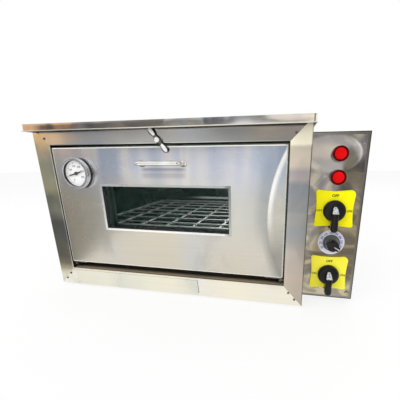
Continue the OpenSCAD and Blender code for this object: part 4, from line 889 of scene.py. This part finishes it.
lay_tone(panel_steel, "MIX", laid_over(panel_tree, "MULTIPLY", 1.0, highlight_arc, arc_side), (0.95, 0.94, 0.9))
dress(panel_steel, "control_panel")
dress(panel_steel, "panel_screws", fold=0.0002)
shell_low, shell_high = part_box("control_box_shell")
shell_steel = sheet_steel("shell_steel", *body_tones, grain="z")
# Painted shade: the shell darkens at its front edge beside the stile.
tone_along(shell_steel, "Y", shell_low.y, shell_low.y + 0.004, [(0.3, (0.5, 0.47, 0.43)), (0.8, 1)])
dress(shell_steel, "control_box_shell")
dress(body_steel, "control_box_back")
# Painted shade: a near black ring round the panel's edge, where the panel is set in.
panel_shade_steel = sheet_steel(
    "panel_shade_steel", (0.16, 0.15, 0.13), (0.12, 0.115, 0.105), (0.09, 0.09, 0.09), (0.04, 0.04, 0.04), 0.35
)
shade_ring_side, shade_ring_rim = 0.003, 0.0012
shade_ring_front, shade_ring_back = shell_low.y - 0.0004, shell_low.y + 0.001
shade_ring_section = [(0, 0, shade_ring_front), (shade_ring_side, shade_ring_rim, shade_ring_front), (shade_ring_side, shade_ring_rim, shade_ring_back), (0, 0, shade_ring_back)]
shade_ring_points, shade_ring_faces = upright_ring(shell_low, shell_high, shade_ring_section)
new_piece("panel_shade_ring", shade_ring_points, shade_ring_faces, "oven", "polished_steel", panel_shade_steel)

# Pilot lamps: red moulded lenses, darkened towards their rims with painted shade, seated in deep red collars.
# Each is pushed through the panel and held behind it.
collar_red = plain_finish("collar_red", 90.0, (0.1, 0.001, 0.004), (0.15, 0.001, 0.006), 0.22, 2.0, shine=0.15)
dress(collar_red, "upper_lamp_housing", "lower_lamp_housing", fold=0.0004)
for lens in ("upper_lamp_lens", "lower_lamp_lens"):
    lens_low, lens_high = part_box(lens)
    lens_red = plain_finish(lens + "_red", 90.0, (0.64, 0.001, 0.002), (0.78, 0.002, 0.003), 0.3, 2.0, shine=0.08)
    red_tree = lens_red.node_tree
    # Painted shade: each lens darkens towards its rim.
    rim_gap = gap_from(red_tree, (lens_low + lens_high) / 2, (1.0, 0.0, 1.0))
    rim_span = level(red_tree, rim_gap, 0.0, 1.0, 0.0, (lens_high.x - lens_low.x) / 2)
    rim_shade = tint_ramp(red_tree, rim_span, [(0.8, 1), (0.88, (0.2, 0.5, 0.8)), (1.0, (0.12, 0.4, 0.7))])
    lay_tone(lens_red, "MULTIPLY", 1.0, rim_shade)
    dress(lens_red, lens, fold=0.0005)

# Rotary switches: yellow moulded face plates with drawn-in sides, screwed to black bodies behind the panel.
# Their black handles have a domed disc and a hanging lever, with a pale pointer set into the lever's slope.
black_moulding = plain_finish(
    "black_moulding", 70.0, (0.004, 0.004, 0.005), (0.010, 0.010, 0.012), (0.25, 0.4, 160.0), 4.0, shine=0.25
)
plate_yellow = plain_finish("plate_yellow", 40.0, (0.98, 0.87, 0.002), (1.0, 0.93, 0.003), 0.4, shine=0.12)
yellow_tree = plate_yellow.node_tree
lower_share = level(yellow_tree, drawn_axis(yellow_tree, "Z"), 0.8, 0.0, 0.09, 0.13)
lay_tone(plate_yellow, "MIX", lower_share, (1.0, 0.92, 0.08))
pointer_silver = plain_finish(
    "pointer_silver", 500.0, (0.22, 0.22, 0.23), (0.8, 0.8, 0.81), 0.35, 2.0, metal=0.6, spread=(0.35, 0.6)
)


def drawn_in_outline(half, draw, corner, big_corner):
    """A square's outline, anticlockwise in millimetres, its sides drawn in and its upper right corner rounder."""
    outline = []
    for turn, round_off in ((0, big_corner), (1, corner), (2, corner), (3, corner)):
        next_off = corner if turn < 3 else big_corner
        c, d = [(1, 1), (-1, 1), (-1, -1), (1, -1)][turn], [(0, -1), (1, 0), (0, 1), (-1, 0)][turn]
        e = [(-1, 0), (0, -1), (1, 0), (0, 1)][turn]
        centre = (c[0] * (half - round_off), c[1] * (half - round_off))
        for n in range(7):
            a = math.pi / 2 * turn + math.pi / 12 * n
            outline.append((centre[0] + round_off * math.cos(a), centre[1] + round_off * math.sin(a)))
        length = 2 * half - round_off - next_off
        begin = (centre[0] - d[0] * round_off, centre[1] - d[1] * round_off)
        for n in range(1, 16):
            t = n / 16
            dip = draw * (1 - abs(2 * t - 1) ** 1.4)
            outline.append((begin[0] + e[0] * length * t + d[0] * dip, begin[1] + e[1] * length * t + d[1] * dip))
    return outline


def squared(swing):
    """A point on a rounded square, as parts of its half width and half height."""
    return [math.copysign(abs(part) ** 0.6, part) for part in (math.cos(swing), math.sin(swing))]


disc_gap, shaft_hole, lever_foot, lever_steps = 0.0004, 9.1, 2.0, 20
side_draw, corner_r, big_corner_r, pointer_sunk, pointer_proud = 2.0, 3.5, 8.0, 0.6, 0.35
for switch in ("upper_switch", "lower_switch"):
    plate_low, plate_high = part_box(switch + "_plate")
    handle_low, handle_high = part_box(switch + "_handle")
    disc_r = (handle_high.x - handle_low.x) * 500
    spot = Vector(((plate_low.x + plate_high.x) / 2, plate_low.y, handle_high.z - disc_r / 1000))
    rise = (plate_low.z + plate_high.z) * 500 - spot.z * 1000
    half_plate = (plate_high.x - plate_low.x) * 500
    outline = [(u, v + rise) for u, v in drawn_in_outline(half_plate, side_draw, corner_r, big_corner_r)]
    hole = [(u * shaft_hole / math.hypot(u, v), v * shaft_hole / math.hypot(u, v)) for u, v in outline]
    plate_section = [(outline, plate_high.y), (outline, plate_low.y), (hole, plate_low.y), (hole, plate_high.y)]
    plate_loops = [[(spot.x + u / 1000, y, spot.z + v / 1000) for u, v in edge] for edge, y in plate_section]
    plate = new_piece(switch + "_face", *ring(plate_loops), "oven", "yellow_plastic", plate_yellow, switch + "_plate")
    soften(plate, 0.0007, 3)
    printed_marks(
        switch + "_words",
        spot,
        plate_low.y - ink_lift,
        [],
        [("OFF", math.pi / 2, 25.5, 6.5, 0.0), ("ON", math.pi, 24.8, 5.5, 0.0), ("ON", 0.0, 24.8, 5.5, 0.0)],
        "oven",
        needle_paint,
    )
    disc_back = plate_low.y - disc_gap

    def handle_point(u, v, out):
        return (spot.x + u / 1000, disc_back - out / 1000, spot.z + v / 1000)

    disc_profile = [(disc_r, 0.0), (disc_r, 3.6), (disc_r - 0.3, 5.2), (disc_r - 1.2, 6.8), (16.0, 8.0), (13.0, 8.8)]
    disc_profile += [(8.0, 9.2), (1.0, 9.3)]
    disc_turns = [math.tau * n / round_steps for n in range(round_steps)]
    disc_points, disc_faces = stacked(
        [[handle_point(r * math.cos(turn), r * math.sin(turn), out) for turn in disc_turns] for r, out in disc_profile]
    )
    lever_stations = [(9.5, 3.2, 8.2), (7.5, 4.6, 10.2), (4.0, 5.2, 13.4), (0.0, 5.5, 17.0), (-3.5, 5.6, 20.2)]
    lever_stations += [(-5.5, 5.6, 21.4), (-9.0, 5.6, 21.6), (-16.0, 5.6, 21.2), (-23.0, 5.9, 20.8), (-29.0, 6.0, 20.4)]
    lever_stations += [(-32.0, 5.4, 19.4), (-34.0, 3.8, 17.6), (-35.0, 1.4, 15.0)]
    lever_section = [squared(math.tau * n / lever_steps) for n in range(lever_steps)]
    lever_points, lever_faces = stacked(
        [
            [handle_point(half * a, v, lever_foot + (top - lever_foot) * (0.5 + 0.5 * b)) for a, b in lever_section]
            for v, half, top in lever_stations
        ]
    )
    new_piece(
        switch + "_grip",
        disc_points + lever_points,
        disc_faces + [tuple(i + len(disc_points) for i in face) for face in lever_faces],
        switch,
        "black_plastic",
        black_moulding,
        switch + "_handle",
    )
    pointer_rows = [(8.4, 1.4, 9.7), (7.4, 2.6, 10.6), (5.6, 3.5, 12.4), (3.0, 4.2, 14.8), (0.0, 4.8, 17.5)]
    pointer_rows += [(-1.8, 5.2, 19.3)]
    pointer_sections = [
        [handle_point(u, v, lift) for u, lift in four_corners(-half, half, out - pointer_sunk, out + pointer_proud)]
        for v, half, out in pointer_rows
    ]
    new_piece(switch + "_pointer", *stacked(pointer_sections), switch, "scale_aluminium", pointer_silver)
dress(black_moulding, "upper_switch_body", "lower_switch_body")

# Thermostat: a printed scale plate under a black moulded knob, with a grey painted reflection round its skirt and a
# pale line.
# Its sheet body and its brass capillary sit behind the panel.
scale_plate = plain_finish("scale_plate", 90.0, (0.66, 0.66, 0.78), (0.80, 0.80, 0.90), 0.35, shine=0.3)
dress(scale_plate, "thermostat_scale", fold=0.0003)
scale_ink = plain_finish("scale_ink", 300.0, (0.05, 0.05, 0.22), (0.10, 0.10, 0.34), 0.5)
scale_low, scale_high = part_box("thermostat_scale")
scale_sweep = [math.radians(215 - 250 * n / 25) for n in range(26)]
printed_marks(
    "thermostat_marks",
    (scale_low + scale_high) / 2,
    scale_low.y - ink_lift,
    [(a, 19.6, 21.4, 0.5) for a in scale_sweep],
    [(str(50 + 25 * n), a, 17.4, 4.6, a - math.pi / 2) for n, a in enumerate(scale_sweep[::3])],
    "oven",
    scale_ink,
)
knob_low, knob_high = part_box("thermostat_knob")
knob_moulding = plain_finish(
    "knob_moulding", 90.0, (0.004, 0.004, 0.006), (0.012, 0.012, 0.014), (0.15, 0.3, 160.0), shine=0.4
)
knob_tree = knob_moulding.node_tree
# Painted reflection: a grey tone round the knob's skirt.
skirt_reflection_share = level(knob_tree, drawn_axis(knob_tree, "Y"), 0.0, 0.8, knob_low.y + 0.002, knob_low.y + 0.014)
lay_tone(knob_moulding, "MIX", skirt_reflection_share, (0.11, 0.13, 0.11))
dress(knob_moulding, "thermostat_knob", fold=0.0007)
line_turn = math.radians(-30)
line_middle = (knob_low + knob_high) / 2
line_start, line_end, half_line, line_lift = 2.0, 11.8, 0.9, 0.3
line_sections = []
for out in (-line_lift, line_lift):
    section = []
    for along, side in four_corners(line_start, line_end, -half_line, half_line):
        x = line_middle.x + (along * math.cos(line_turn) - side * math.sin(line_turn)) / 1000
        z = line_middle.z + (along * math.sin(line_turn) + side * math.cos(line_turn)) / 1000
        section.append((x, knob_low.y - out / 1000, z))
    line_sections.append(section)
knob_line = new_piece("knob_line", *stacked(line_sections), "thermostat", "scale_aluminium", pointer_silver)
soften(knob_line, 0.0001)
dress(hinge_steel, "thermostat_body")
dress(brass, "thermostat_capillary", fold=0.0002)

# Supply: a white ceramic terminal block and red covered wires inside the control box.
# A black moulded cable gland is screwed into its back plate.
block_ceramic = plain_finish("block_ceramic", 80.0, (0.70, 0.68, 0.62), (0.82, 0.80, 0.74), 0.5)
dress(block_ceramic, "terminal_block")
wire_cover = plain_finish("wire_cover", 200.0, (0.45, 0.03, 0.02), (0.62, 0.06, 0.04), 0.5)
dress(wire_cover, "wiring")
dress(black_moulding, "cable_gland", fold=0.0004)
